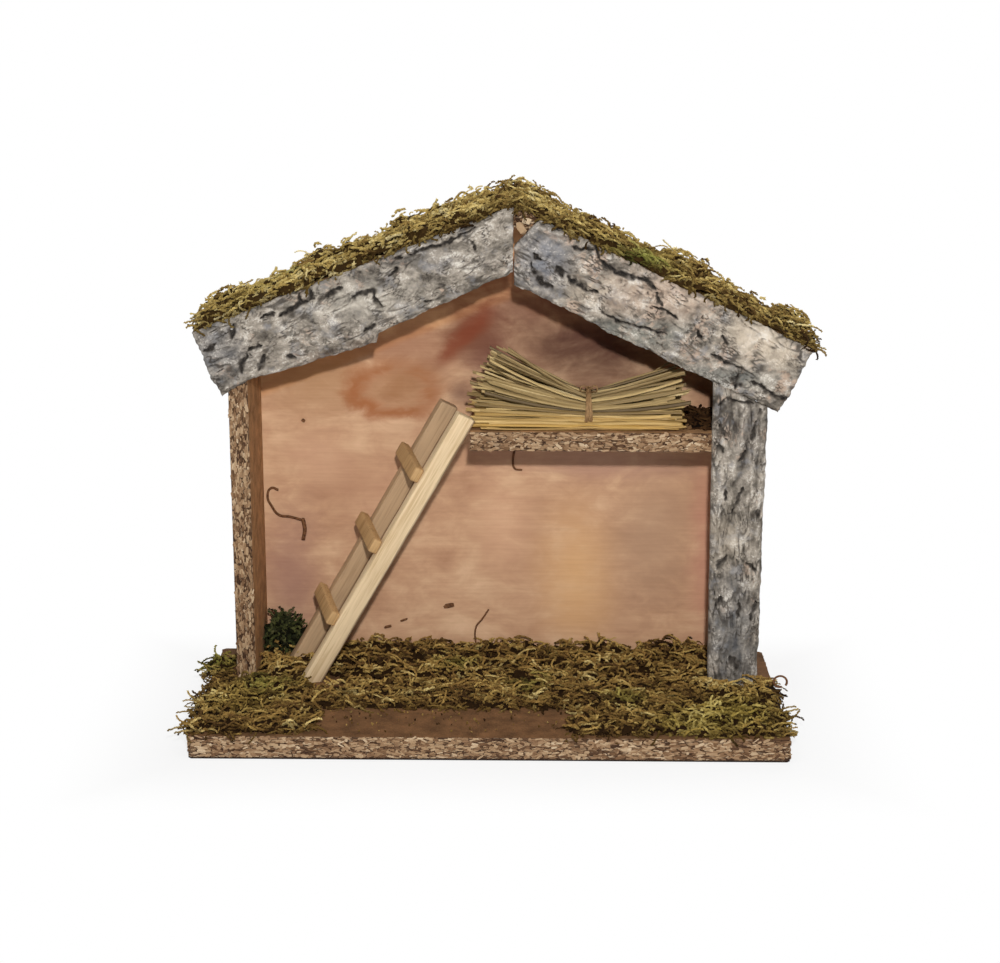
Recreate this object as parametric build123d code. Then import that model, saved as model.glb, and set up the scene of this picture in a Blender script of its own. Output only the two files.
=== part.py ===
from build123d import *
import math
import os

# Wooden nativity stable. A shallow gabled shed of chipboard stands at the back of a wide chipboard base.
# Bark strips face the roof edges and the right wall, a loft carries a tied sheaf of straw, a ladder leans
# on the loft's end, and dried moss covers the roof and most of the base.
# Millimetres, +Z up, the open front faces -Y, origin at the centre of the base's underside.

# Base, walls and back panel
base_width = 300.0
base_depth = 128.0
base_thick = 12.0
base_corner = 1.5
board_thick = 10.0
wall_span = 270.0
wall_depth = 53.0
panel_thick = 3.0
panel_reveal = 2.5

# Roof: the ridge lies right of the middle, and the two slopes are not quite alike
ridge_height = 267.0
ridge_offset = 11.0
left_pitch = 21.8
right_pitch = 25.5
left_slope_length = 175.0
right_slope_length = 168.0

# Loft, measured from the floor and from the right wall's inner face
loft_height = 150.0
loft_length = 136.0

# Bark strips
bark_thick = 8.0
bark_rim = 5.5
fascia_width = 36.0
post_width = 28.5
post_overlap = 13.0
bark_gap = 0.4
chip_along = 13.0
chip_down = 20.0
crack_width = 1.8
crack_depth = 2.5

# Ladder
ladder_run = 79.0
ladder_twist = 18.0
ladder_setback = 1.0
ladder_top = 6.0
rail_width = 10.0
rail_thick = 5.5
rail_spacing = 28.0
rung_width = 6.5
rung_thick = 5.0
rung_setback = 1.0
rung_overhang = 4.0
rung_round = 1.6
rung_shares = (0.22, 0.51, 0.79)
seat_gap = 0.2

# Straw sheaf
straw_size = 2.1
straw_pitch = 2.4
waist_height = 18.0
waist_depth = 24.0
tie_reach = 61.0
tie_width = 3.5
tie_thick = 0.9
knot_size = 4.0
straw_gap = 1.0
straw_lean = 13.0
right_reach = 47.0
left_fan_height = 42.0
right_fan_height = 32.0
fan_depth = 33.0
straw_ragged = 3.0
sheaf_setback = 4.0

# Moss
moss_height = 9.0
moss_rim = 4.0
clump_pitch = 13.0
clump_swing_share = 0.35
clump_shift_share = 0.22
ridge_moss_reach = 32.0
ridge_moss_shoulder = 16.0
ridge_moss_height = 11.0
apron_moss_left = 55.0
apron_moss_right = 107.0
bare_patch_depth = 36.0
tuft_height = 24.0
tuft_radius = 13.0
mound_top_share = 0.55

# Nails and staples
nail_size = 1.6
nail_head = 3.2
nail_head_thick = 1.0
nail_sink = 0.6
nail_length = 26.0
brad_size = 1.0
brad_head = 1.8
brad_length = 16.0
rung_brad_length = 9.0
staple_crown = 8.0
staple_wire = 1.0
staple_leg = 8.0
pair_shares = (0.22, 0.78)
triple_shares = (0.12, 0.48, 0.86)
post_brad_shares = (0.12, 0.45, 0.74)
ridge_nail_share = 0.75

overrun = 20.0
golden_angle = 2.39996

# Places worked out from the sizes above
front = -base_depth / 2
back = base_depth / 2
wall_front = back - wall_depth
bark_front = wall_front - bark_thick
panel_back = back + panel_thick
wall_out = wall_span / 2
wall_in = wall_out - board_thick
loft_left = wall_in - loft_length
loft_under = loft_height - board_thick
ridge = (ridge_offset, ridge_height)
post_left = wall_in - post_overlap
post_right = post_left + post_width


class Strip:
    """A flat strip in the XZ plane: s runs along it from its origin and t runs across it, both in mm."""

    def __init__(self, origin, along, across):
        self.origin, self.along, self.across = origin, along, across

    def at(self, s, t):
        x = self.origin[0] + self.along[0] * s + self.across[0] * t
        z = self.origin[1] + self.along[1] * s + self.across[1] * t
        return x, z


class Slope(Strip):
    """One roof slope: s runs down from the ridge, t runs down through the roof from its top face."""

    def __init__(self, side, pitch, length):
        self.side, self.length = side, length
        self.cos, self.sin = math.cos(math.radians(pitch)), math.sin(math.radians(pitch))
        super().__init__(ridge, (side * self.cos, -self.sin), (-side * self.sin, -self.cos))

    def top(self, x):
        return ridge_height - abs(x - ridge_offset) * self.sin / self.cos

    def below(self, x, depth):
        return self.top(x) - depth / self.cos


left_slope = Slope(-1, left_pitch, left_slope_length)
right_slope = Slope(1, right_pitch, right_slope_length)


def slope_over(x):
    return left_slope if x < ridge_offset else right_slope


# Shape helpers


def block(x0, x1, y0, y1, z0, z1):
    return Pos((x0 + x1) / 2, (y0 + y1) / 2, (z0 + z1) / 2) * Box(x1 - x0, y1 - y0, z1 - z0)


def plate(points, y_front, y_back):
    """An upright plate with an outline of (x, z) points."""
    outline = make_face(Polyline(*points, close=True))
    return extrude(Plane.XZ.offset(-y_back) * outline, y_back - y_front)


def frustum(frame, radius, height, sides=6):
    """A low tapered mound that stands on a plane."""
    foot = frame * RegularPolygon(radius, sides)
    crown = frame.offset(height) * RegularPolygon(radius * mound_top_share, sides)
    return loft([foot.face(), crown.face()], ruled=True)


# Boards


def make_base():
    board = block(-base_width / 2, base_width / 2, front, back, 0, base_thick)
    return chamfer(board.edges().filter_by(Axis.Z), base_corner)


def make_wall(side):
    """A side wall with its top cut to the slope of the roof board above it."""
    outer, inner = side * wall_out, side * wall_in
    slope = slope_over(outer)
    points = [
        (outer, base_thick),
        (inner, base_thick),
        (inner, slope.below(inner, board_thick)),
        (outer, slope.below(outer, board_thick)),
    ]
    return plate(points, wall_front, back)


def make_roof_board(slope):
    """A roof board with a square eave and a plumb cut at the ridge."""
    points = [
        ridge,
        slope.at(slope.length, 0),
        slope.at(slope.length, board_thick),
        (ridge_offset, slope.below(ridge_offset, board_thick)),
    ]
    return plate(points, wall_front, back)


def make_loft():
    return block(loft_left, wall_in, wall_front, back, loft_under, loft_height)


def make_back_panel():
    """The gable-shaped sheet over the rear edges of the base, walls and roof."""
    points = [
        (-wall_out, 0),
        (wall_out, 0),
        (wall_out, right_slope.below(wall_out, panel_reveal)),
        (ridge_offset, ridge_height - panel_reveal / min(left_slope.cos, right_slope.cos)),
        (-wall_out, left_slope.below(-wall_out, panel_reveal)),
    ]
    return plate(points, back, panel_back)


# Bark strips

fascia_edge_shares = (0.0, 0.03, -0.03, 0.04, 0.0, -0.04, 0.02)
post_edge_shares = (0.0, 0.05, -0.02, 0.04, -0.03, 0.02)
left_crack_shares = (
    (0.06, 0.28, 0.44, 0.10),
    (0.34, 0.60, 0.20, -0.14),
    (0.56, 0.34, 0.28, 0.08),
    (0.80, 0.62, 0.14, -0.20),
    (0.62, 0.80, 0.16, 0.06),
)
right_crack_shares = (
    (0.08, 0.40, 0.12, 0.22),
    (0.14, 0.62, 0.16, -0.12),
    (0.30, 0.22, 0.34, 0.10),
    (0.48, 0.74, 0.36, -0.06),
    (0.76, 0.56, 0.14, 0.12),
)
post_crack_shares = (
    (0.05, 0.62, 0.22, 0.16),
    (0.20, 0.30, 0.30, -0.10),
    (0.42, 0.72, 0.26, 0.08),
    (0.62, 0.40, 0.26, 0.12),
    (0.80, 0.66, 0.14, -0.10),
)


def ragged_edge(strip, start, end, across, shares):
    """Points along one long edge of a strip, each moved across it by a share of the strip's width."""
    steps = len(shares) - 1
    width = abs(across)
    return [
        strip.at(start + (end - start) * i / steps, across + share * width)
        for i, share in enumerate(shares)
    ]


def crowned(strip, s0, s1, width):
    """A bar along a strip, flat at the back and swelling from its rims to the bark's full thickness. It is
    wider and longer than the strip, so that it only shapes the front."""
    x, z = strip.at(s0 - overrun, width / 2)
    along = (strip.along[0], 0, strip.along[1])
    frame = Plane(origin=(x, wall_front, z), x_dir=(0, -1, 0), z_dir=along)
    half = width / 2 + bark_rim
    outline = make_face(
        Polyline((bark_rim, half), (0, half), (0, -half), (bark_rim, -half))
        + ThreePointArc((bark_rim, -half), (bark_thick, 0), (bark_rim, half))
    )
    return extrude(frame * outline, s1 - s0 + 2 * overrun)


def cut_cracks(bark, strip, s0, s1, width, shares):
    """Long open cracks in the bark's face, each a thin lozenge."""
    length = s1 - s0
    for s_share, t_share, length_share, drift_share in shares:
        start, run = s0 + length * s_share, length * length_share
        t = width * t_share
        drift = width * drift_share
        lozenge = [
            strip.at(start, t),
            strip.at(start + run / 2, t + (drift - crack_width) / 2),
            strip.at(start + run, t + drift),
            strip.at(start + run / 2, t + (drift + crack_width) / 2),
        ]
        bark -= plate(lozenge, bark_front - overrun, bark_front + crack_depth)
    return bark


def make_fascia(slope, crack_shares, ridge_end):
    """A bark strip on a roof board's front edge, level with the roof's top face."""
    eave = ragged_edge(slope, slope.length, 0, fascia_width, fascia_edge_shares)[:-1]
    outline = plate([*ridge_end, slope.at(slope.length, 0), *eave], bark_front, wall_front)
    bark = outline & crowned(slope, 0, slope.length, fascia_width)
    return cut_cracks(bark, slope, 0, slope.length, fascia_width, crack_shares)


def make_left_fascia():
    """The left strip, cut plumb at the ridge."""
    seam = ridge_offset - bark_gap
    ridge_end = [(seam, left_slope.below(seam, fascia_width)), (seam, left_slope.top(seam))]
    return make_fascia(left_slope, left_crack_shares, ridge_end)


def make_right_fascia():
    """The right strip, cut plumb at the ridge with its upper corner broken off."""
    seam = ridge_offset + bark_gap
    ridge_end = [
        (seam, right_slope.below(seam, fascia_width)),
        (seam, right_slope.top(seam) - chip_down),
        (seam + chip_along, right_slope.top(seam + chip_along)),
    ]
    return make_fascia(right_slope, right_crack_shares, ridge_end)


def make_post():
    """The bark strip on the right wall's front edge, from the base up to the fascia."""
    strip = Strip((post_left, base_thick), (0, 1), (1, 0))

    def top(x):
        return right_slope.below(x, fascia_width * (1 + max(fascia_edge_shares)) + bark_gap)

    height = top(post_right) - base_thick
    side = ragged_edge(strip, 0, height, post_width, post_edge_shares)
    side[-1] = (post_right, top(post_right))
    outline = plate([(post_left, base_thick), *side, (post_left, top(post_left))], bark_front, wall_front)
    bark = outline & crowned(strip, 0, top(post_left) - base_thick, post_width)
    return cut_cracks(bark, strip, 0, height, post_width, post_crack_shares)


# Ladder

loft_edge = (loft_left - seat_gap, loft_height)
ladder_foot = (loft_left - ladder_run, base_thick)
ladder_rise = loft_height - base_thick
ladder_length = math.hypot(ladder_run - seat_gap, ladder_rise)
ladder_up = (
    (loft_edge[0] - ladder_foot[0]) / ladder_length,
    ladder_rise / ladder_length,
)
twist_cos = math.cos(math.radians(ladder_twist))
twist_sin = math.sin(math.radians(ladder_twist))
rung_dir = Vector(-ladder_up[1] * twist_sin, twist_cos, ladder_up[0] * twist_sin)
ladder_frame = Plane(
    origin=(ladder_foot[0], wall_front + ladder_setback, ladder_foot[1]),
    x_dir=rung_dir,
    z_dir=(ladder_up[0], 0, ladder_up[1]),
)


def ladder_bar(v0, v1, w0, w1, u0, u1):
    """A bar in the ladder's own frame: v along the rungs, w out of the climbing face, u up the rails."""
    return ladder_frame * block(v0, v1, w0, w1, u0, u1)


def make_rail(v0):
    """A rail of the ladder, with its foot cut level to stand on the base."""
    rail = ladder_bar(v0, v0 + rail_thick, 0, rail_width, -overrun, ladder_length + ladder_top)
    below = block(-base_width, base_width, -base_depth, base_depth, -base_width, base_thick)
    return rail - below


def make_rung(share):
    """A rung laid over both rails, with its outer edges rounded."""
    u = ladder_length * share
    far = rail_spacing + rail_thick + rung_overhang
    top = rail_width + rung_thick
    rung = block(rung_setback, far, rail_width, top, u - rung_width / 2, u + rung_width / 2)
    outer = rung.edges().filter_by(Axis.X).group_by(Axis.Y)[-1]
    return ladder_frame * fillet(outer, rung_round)


# Straw sheaf

tie_x = loft_left + tie_reach
sheaf_left = loft_left + ladder_top * ladder_up[0] + straw_gap + straw_ragged
sheaf_y = wall_front + sheaf_setback + fan_depth / 2
waist_z = loft_height + tie_thick + waist_height / 2


def waist_face(grow):
    """The sheaf's section under the tie, grown by the given amount."""
    frame = Plane(origin=(tie_x - tie_width / 2, sheaf_y, waist_z), x_dir=(0, 1, 0), z_dir=(1, 0, 0))
    return frame * Ellipse(waist_depth / 2 + grow, waist_height / 2 + grow)


def straw_section(x, y, z):
    frame = Plane(origin=(x, y, z), x_dir=(0, 1, 0), z_dir=(1, 0, 0))
    return (frame * Rectangle(straw_size, straw_size, rotation=45)).face()


def make_straw(y_share, z_share, index):
    """A straw through the waist. Its ends spread from there, so no two straws cross, and the upper ones
    reach out over the ladder's top."""
    ragged = straw_ragged * math.sin(golden_angle * index)
    half = straw_size * math.sqrt(0.5)
    lift = z_share / 2 + 0.5

    def end(x, fan_height):
        room = fan_height - 2 * half
        y = sheaf_y + y_share * (fan_depth / 2 - half)
        return straw_section(x, y, loft_height + half + lift * room)

    waist = straw_section(
        tie_x,
        sheaf_y + y_share * (waist_depth / 2 - half),
        waist_z + z_share * (waist_height / 2 - half),
    )
    left = end(sheaf_left - straw_lean * lift - ragged, left_fan_height)
    right = end(tie_x + right_reach + ragged, right_fan_height)
    return loft([left, waist, right], ruled=True)


def straw_places():
    """Places of the straws in the waist, as shares of its half sizes, in staggered rows."""
    half_y = waist_depth / 2 - straw_size / 2
    half_z = waist_height / 2 - straw_size / 2
    row_step = straw_pitch * math.sqrt(0.75)
    rows = int(half_z / row_step)
    columns = int(half_y / straw_pitch) + 1
    for row in range(-rows, rows + 1):
        for column in range(-columns, columns + 1):
            y = (column + (row % 2) / 2) * straw_pitch / half_y
            z = row * row_step / half_z
            if math.hypot(y, z) <= 1:
                yield y, z


def make_sheaf():
    """All the straws, pressed into one where the tie holds them."""
    core = extrude(waist_face(0), tie_width)
    return core.fuse(*[make_straw(y, z, i) for i, (y, z) in enumerate(straw_places())])


def make_tie():
    """The raffia band round the waist, with its knot on top."""
    band = extrude(waist_face(tie_thick) - waist_face(0), tie_width)
    knot_z = waist_z + (waist_height + tie_thick + knot_size) / 2
    frame = Plane(origin=(tie_x - tie_width / 2, sheaf_y, knot_z), x_dir=(0, 1, 0), z_dir=(1, 0, 0))
    return band + extrude(frame * Circle(knot_size / 2), tie_width)


# Moss


def polygon(*points):
    return Face(Wire.make_polygon(points, close=True))


def moss_mat(frame, length, width, seed):
    """A mat of uneven clumps on a plane, from the plane's origin along its x and y, thinner at its rim."""
    columns = max(2, round(length / clump_pitch))
    rows = max(2, round(width / clump_pitch))

    def clump(i, j):
        x, y, height = length * i / columns, width * j / rows, moss_rim
        if 0 < i < columns and 0 < j < rows:
            phase = golden_angle * (i * (rows + 1) + j) + seed
            x += clump_shift_share * length / columns * math.cos(2 * phase)
            y += clump_shift_share * width / rows * math.sin(2 * phase)
            height = moss_height * (1 + clump_swing_share * math.sin(phase))
        return frame.from_local_coords((x, y, height))

    def foot(i, j):
        return frame.from_local_coords((length * i / columns, width * j / rows, 0))

    grid = [[clump(i, j) for j in range(rows + 1)] for i in range(columns + 1)]
    faces = [polygon(foot(0, 0), foot(0, rows), foot(columns, rows), foot(columns, 0))]
    for i in range(columns):
        for j in range(rows):
            near, far, beyond, beside = grid[i][j], grid[i + 1][j], grid[i + 1][j + 1], grid[i][j + 1]
            faces += [polygon(near, far, beyond), polygon(near, beyond, beside)]
    lengthwise = [(0, [row[0] for row in grid]), (rows, [row[rows] for row in grid])]
    faces += [polygon(foot(columns, j), foot(0, j), *edge) for j, edge in lengthwise]
    faces += [polygon(foot(i, rows), foot(i, 0), *grid[i]) for i in (0, columns)]
    return Solid(Shell(faces))


def base_mat(x0, x1, y0, y1, seed):
    return moss_mat(Plane((x0, y0, base_thick)), x1 - x0, y1 - y0, seed)


def make_roof_moss(slope, seed):
    """The moss on one roof slope, below the ridge cap, from the bark's face to the roof's rear edge."""
    x, z = slope.at(ridge_moss_reach, 0)
    down = Vector(slope.along[0], 0, slope.along[1])
    out = Vector(-slope.across[0], 0, -slope.across[1])
    across = out.cross(down)
    y = bark_front if across.Y > 0 else back
    frame = Plane(origin=(x, y, z), x_dir=down, z_dir=out)
    return moss_mat(frame, slope.length - ridge_moss_reach, back - bark_front, seed)


def make_ridge_moss():
    """The thicker cap of moss over the ridge."""
    points = [
        left_slope.at(ridge_moss_reach, 0),
        left_slope.at(ridge_moss_reach, -moss_height),
        left_slope.at(ridge_moss_shoulder, -ridge_moss_height),
        (ridge_offset, ridge_height + ridge_moss_height),
        right_slope.at(ridge_moss_shoulder, -ridge_moss_height),
        right_slope.at(ridge_moss_reach, -moss_height),
        right_slope.at(ridge_moss_reach, 0),
        ridge,
    ]
    return plate(points, bark_front, back)


def make_corner_tuft():
    """The tall dark tuft in the left rear corner of the shed."""
    foot = Plane((-wall_in + tuft_radius, back - tuft_radius, base_thick))
    return frustum(foot, tuft_radius, tuft_height, sides=8)


# Nails and staples


def make_nail(start, direction, size, head, length):
    """A nail with its head's outer face at start, driven along direction, and the hole that it leaves."""
    frame = Plane(origin=start, z_dir=direction)
    shank = extrude(frame * Circle(size / 2), length)
    cap = extrude(frame * Circle(head / 2), nail_head_thick)
    sink = extrude(frame.offset(-overrun) * Circle(head / 2), overrun)
    nail = shank + cap
    return nail, nail + sink


def make_staple(x, z, along):
    """A staple in the back panel's rear face, with its crown along the given (x, z) direction."""
    frame = Plane(origin=(x, panel_back, z), x_dir=(along[0], 0, along[1]), z_dir=(0, 1, 0))
    half = staple_crown / 2
    crown = block(-half, half, -staple_wire / 2, staple_wire / 2, 0, staple_wire)
    legs = [
        block(v, v + staple_wire, -staple_wire / 2, staple_wire / 2, -staple_leg, 0)
        for v in (-half, half - staple_wire)
    ]
    return frame * crown.fuse(*legs)


parts = {}


def drive(name, fasteners, boards):
    """Adds a group of fasteners and cuts their holes in the boards that they hold."""
    parts[name] = [solid for solid, hole in fasteners]
    for board in boards:
        for solid, hole in fasteners:
            parts[board] = parts[board] - hole


def drive_staples(name, staples, boards):
    drive(name, [(staple, staple) for staple in staples], boards)


def wall_y(share):
    return wall_front + wall_depth * share


def base_nails(side):
    x = side * (wall_out + wall_in) / 2
    return [
        make_nail((x, wall_y(share), nail_sink), (0, 0, 1), nail_size, nail_head, nail_length)
        for share in pair_shares
    ]


def roof_nails(side, slope):
    """Plumb nails through a roof board into the wall's top, with their heads sunk below the slope."""
    x = side * (wall_out + wall_in) / 2
    z = slope.top(x) - nail_sink - nail_head / 2 * slope.sin / slope.cos
    return [
        make_nail((x, wall_y(share), z), (0, 0, -1), nail_size, nail_head, nail_length)
        for share in pair_shares
    ]


def ridge_nails():
    """Level nails from the left board's top face into the right board, where they end below its top face."""
    depth = board_thick * ridge_nail_share / left_slope.cos
    head_x = ridge_offset - (depth - nail_head / 2) * left_slope.cos / left_slope.sin + nail_sink
    tip_x = ridge_offset + (depth - nail_size * 2) * right_slope.cos / right_slope.sin
    z = ridge_height - depth
    return [
        make_nail((head_x, wall_y(share), z), (1, 0, 0), nail_size, nail_head, tip_x - head_x)
        for share in pair_shares
    ]


def loft_nails():
    z = loft_height - board_thick / 2
    return [
        make_nail((wall_out - nail_sink, wall_y(share), z), (-1, 0, 0), nail_size, nail_head, nail_length)
        for share in pair_shares
    ]


def fascia_brads(slope):
    brads = []
    for share in triple_shares:
        x, z = slope.at(slope.length * share + board_thick / 2, board_thick / 2)
        start = (x, wall_front - bark_rim + nail_sink, z)
        brads.append(make_nail(start, (0, 1, 0), brad_size, brad_head, brad_length))
    return brads


def post_brads():
    x = (wall_in + wall_out) / 2
    height = right_slope.below(wall_out, fascia_width) - base_thick
    return [
        make_nail(
            (x, wall_front - bark_rim + nail_sink, base_thick + height * share),
            (0, 1, 0), brad_size, brad_head, brad_length,
        )
        for share in post_brad_shares
    ]


def rung_brads():
    """One brad through each rung into each rail."""
    brads = []
    for share in rung_shares:
        for v in (rail_thick / 2, rail_spacing + rail_thick / 2):
            place = Vector(v, rail_width + rung_thick - nail_sink, ladder_length * share)
            start = ladder_frame.from_local_coords(place)
            inward = -ladder_frame.y_dir
            brads.append(make_nail(start, inward, brad_size, brad_head, rung_brad_length))
    return brads


def wall_staples():
    x = (wall_out + wall_in) / 2
    staples = []
    for side, slope in ((-1, left_slope), (1, right_slope)):
        height = slope.below(side * wall_out, board_thick) - base_thick
        for share in triple_shares:
            staples.append(make_staple(side * x, base_thick + height * share, (0, 1)))
    return staples


def roof_staples():
    staples = []
    for slope in (left_slope, right_slope):
        inside = abs(slope.side * wall_in - ridge_offset) / slope.cos
        for share in pair_shares:
            x, z = slope.at(inside * share, board_thick / 2)
            staples.append(make_staple(x, z, slope.along))
    return staples


def base_staples():
    return [
        make_staple(wall_in * (2 * share - 1), base_thick / 2, (1, 0)) for share in triple_shares
    ]


def loft_staples():
    z = loft_height - board_thick / 2
    return [make_staple(loft_left + loft_length * share, z, (1, 0)) for share in pair_shares]


# Assembly

parts["base_board"] = make_base()
parts["left_wall"] = make_wall(-1)
parts["right_wall"] = make_wall(1)
parts["left_roof_board"] = make_roof_board(left_slope)
parts["right_roof_board"] = make_roof_board(right_slope)
parts["loft_board"] = make_loft()
parts["back_panel"] = make_back_panel()
parts["left_fascia_bark"] = make_left_fascia()
parts["right_fascia_bark"] = make_right_fascia()
parts["right_post_bark"] = make_post()
parts["ladder_front_rail"] = make_rail(0)
parts["ladder_rear_rail"] = make_rail(rail_spacing)
for rung_name, rung_share in zip(("lower", "middle", "upper"), rung_shares):
    parts[f"ladder_{rung_name}_rung"] = make_rung(rung_share)
parts["straw_sheaf"] = make_sheaf()
parts["straw_tie"] = make_tie()

apron_left = -base_width / 2 + apron_moss_left
apron_right = base_width / 2 - apron_moss_right
bare_back = front + bare_patch_depth
tuft = make_corner_tuft()
standing = [parts["ladder_front_rail"], parts["ladder_rear_rail"], parts["ladder_lower_rung"]]
parts["moss_front_left"] = base_mat(-base_width / 2, apron_left, front, wall_front, 0)
parts["moss_front_right"] = base_mat(apron_right, base_width / 2, front, wall_front, 1)
parts["moss_front_middle"] = base_mat(apron_left, apron_right, bare_back, wall_front, 2)
parts["moss_shed_floor"] = base_mat(-wall_in, wall_in, wall_front, back, 3)
parts["moss_corner_tuft"] = tuft
parts["moss_roof_left"] = make_roof_moss(left_slope, 4)
parts["moss_roof_right"] = make_roof_moss(right_slope, 5)
parts["moss_ridge"] = make_ridge_moss()
parts["moss_front_right"] -= parts["right_post_bark"]
parts["moss_shed_floor"] -= tuft
for mat_name in ("moss_front_left", "moss_front_middle", "moss_shed_floor", "moss_corner_tuft"):
    for piece in standing:
        parts[mat_name] = parts[mat_name] - piece

drive("base_nails", base_nails(-1) + base_nails(1), ["base_board", "left_wall", "right_wall"])
drive("left_roof_nails", roof_nails(-1, left_slope), ["left_roof_board", "left_wall"])
drive("right_roof_nails", roof_nails(1, right_slope), ["right_roof_board", "right_wall"])
drive("ridge_nails", ridge_nails(), ["left_roof_board", "right_roof_board"])
drive("loft_nails", loft_nails(), ["right_wall", "loft_board"])
drive("left_fascia_brads", fascia_brads(left_slope), ["left_fascia_bark", "left_roof_board"])
drive("right_fascia_brads", fascia_brads(right_slope), ["right_fascia_bark", "right_roof_board"])
drive("post_brads", post_brads(), ["right_post_bark", "right_wall"])
rungs = ["ladder_lower_rung", "ladder_middle_rung", "ladder_upper_rung"]
drive("rung_brads", rung_brads(), rungs + ["ladder_front_rail", "ladder_rear_rail"])
drive_staples("wall_staples", wall_staples(), ["back_panel", "left_wall", "right_wall"])
drive_staples("roof_staples", roof_staples(), ["back_panel", "left_roof_board", "right_roof_board"])
drive_staples("base_staples", base_staples(), ["back_panel", "base_board"])
drive_staples("loft_staples", loft_staples(), ["back_panel", "loft_board"])

os.makedirs("parts", exist_ok=True)
for name, shape in parts.items():
    pieces = shape if isinstance(shape, list) else [shape]
    solids = [solid for piece in pieces for solid in piece.solids()]
    export_step(solids[0] if len(solids) == 1 else Compound(solids), f"parts/{name}.step")
print(f"{len(parts)} nodes, ladder {ladder_length:.1f} mm long")
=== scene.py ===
# %% [markdown]
# # A wooden nativity stable
# The real object is a small shed of chipboard with bark nailed over its front edges, a painted back,
# a ladder, a tied sheaf of straw and a lot of dried moss. The boards come from the CAD frame, because
# their shape is already right. Everything that grew, the bark, the straw and the moss, is modelled here.

# %% Load the frame
import math

import bpy
import numpy as np
from mathutils import Matrix, Vector, noise


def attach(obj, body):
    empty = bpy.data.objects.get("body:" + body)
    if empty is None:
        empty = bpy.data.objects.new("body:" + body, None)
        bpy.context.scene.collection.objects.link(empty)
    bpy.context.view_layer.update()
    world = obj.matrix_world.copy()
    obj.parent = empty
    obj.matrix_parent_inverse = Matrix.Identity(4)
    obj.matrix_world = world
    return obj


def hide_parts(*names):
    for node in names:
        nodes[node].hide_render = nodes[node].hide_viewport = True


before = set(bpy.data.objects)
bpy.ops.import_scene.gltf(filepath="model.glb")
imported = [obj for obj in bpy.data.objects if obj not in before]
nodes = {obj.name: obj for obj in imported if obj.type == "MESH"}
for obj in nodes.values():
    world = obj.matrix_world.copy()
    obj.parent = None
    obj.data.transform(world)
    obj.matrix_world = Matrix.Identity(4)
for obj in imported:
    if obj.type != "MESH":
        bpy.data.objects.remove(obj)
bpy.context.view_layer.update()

MM = 0.001


# %% Take the main sizes from the frame
def reach(name, axis):
    """Where a CAD node begins and ends along x, y or z, in millimetres."""
    node = nodes[name]
    corners = [node.matrix_world @ Vector(corner) for corner in node.bound_box]
    places = [round(getattr(corner, axis) / MM, 1) for corner in corners]
    return min(places), max(places)


base_left, base_right = reach("base_board", "x")
base_front, base_rear = reach("base_board", "y")
base_top = reach("base_board", "z")[1]
wall_front = reach("left_wall", "y")[0]
wall_left, shed_left = reach("left_wall", "x")
shed_right = reach("right_wall", "x")[0]
panel_front = reach("back_panel", "y")[0]
loft_left, loft_right = reach("loft_board", "x")
loft_under, loft_top = reach("loft_board", "z")
ridge_x, ridge_z = (reach("left_roof_board", axis)[1] for axis in "xz")
left_pitch, right_pitch = math.radians(21.8), math.radians(25.5)
print("base top", base_top, "loft top", loft_top, "ridge", (ridge_x, ridge_z))

# %% [markdown]
# ## Camera
# The photograph was taken with a long lens, a little above the roof and almost straight in front.
# The lens and place were found by matching the corners of the base and the walls, so the camera is
# turned from its three angles instead of being aimed by eye.

# %% Place the camera
camera_place, camera_lens = (14.0 * MM, -999.3 * MM, 396.9 * MM), 72.745
pitch, yaw, roll = 0.2641, -0.0094, 0.0031
ahead = Vector((math.sin(yaw) * math.cos(pitch), math.cos(yaw) * math.cos(pitch), -math.sin(pitch)))
level = Vector((math.cos(yaw), -math.sin(yaw), 0))
upward = level.cross(ahead)
to_right = level * math.cos(roll) + upward * math.sin(roll)
to_top = upward * math.cos(roll) - level * math.sin(roll)
turn = Matrix((to_right, to_top, -ahead)).transposed()
bpy.ops.object.camera_add(location=camera_place, rotation=turn.to_euler())
camera = bpy.context.object
camera.name = "photo_camera"
camera.data.lens = camera_lens
camera.data.sensor_width = 36
bpy.context.scene.camera = camera
print("camera lens", camera.data.lens, "place", tuple(round(c, 3) for c in camera.location))

# %% [markdown]
# ## Shader sums
# A material is a tree of nodes. Written one by one, they hide what the material does, so two small
# classes let it be written as sums: a Wire is one output, and adding two Wires adds a Math node.

# %% Wires and finishes
def paint(colour):
    """A colour as it is read off a screen, three numbers up to 255, turned into the linear values that a
    shader wants. A wire, or a colour with four values, is linear already."""
    if isinstance(colour, Wire) or len(colour) == 4:
        return colour
    shares = [value / 255 for value in colour]
    return (*(s / 12.92 if s <= 0.04045 else ((s + 0.055) / 1.055) ** 2.4 for s in shares), 1.0)


def scaled(colour, factor):
    """A colour made darker or lighter."""
    return (*(min(1.0, value * factor) for value in paint(colour)[:3]), 1.0)


class Wire:
    """One output of a material's nodes, which takes part in sums."""

    def __init__(self, finish, socket):
        self.finish, self.socket = finish, socket

    def math(self, operation, first, second=0.0):
        return self.finish.add("ShaderNodeMath", {"operation": operation}, {0: first, 1: second})

    def __add__(self, other):
        return self.math("ADD", self, other)

    def __sub__(self, other):
        return self.math("SUBTRACT", self, other)

    def __rsub__(self, other):
        return self.math("SUBTRACT", other, self)

    def __mul__(self, other):
        return self.math("MULTIPLY", self, other)

    def __truediv__(self, other):
        return self.math("DIVIDE", self, other)

    def __pow__(self, other):
        return self.math("POWER", self, other)

    def __abs__(self):
        return self.math("ABSOLUTE", self)

    __radd__ = __add__
    __rmul__ = __mul__


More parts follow.
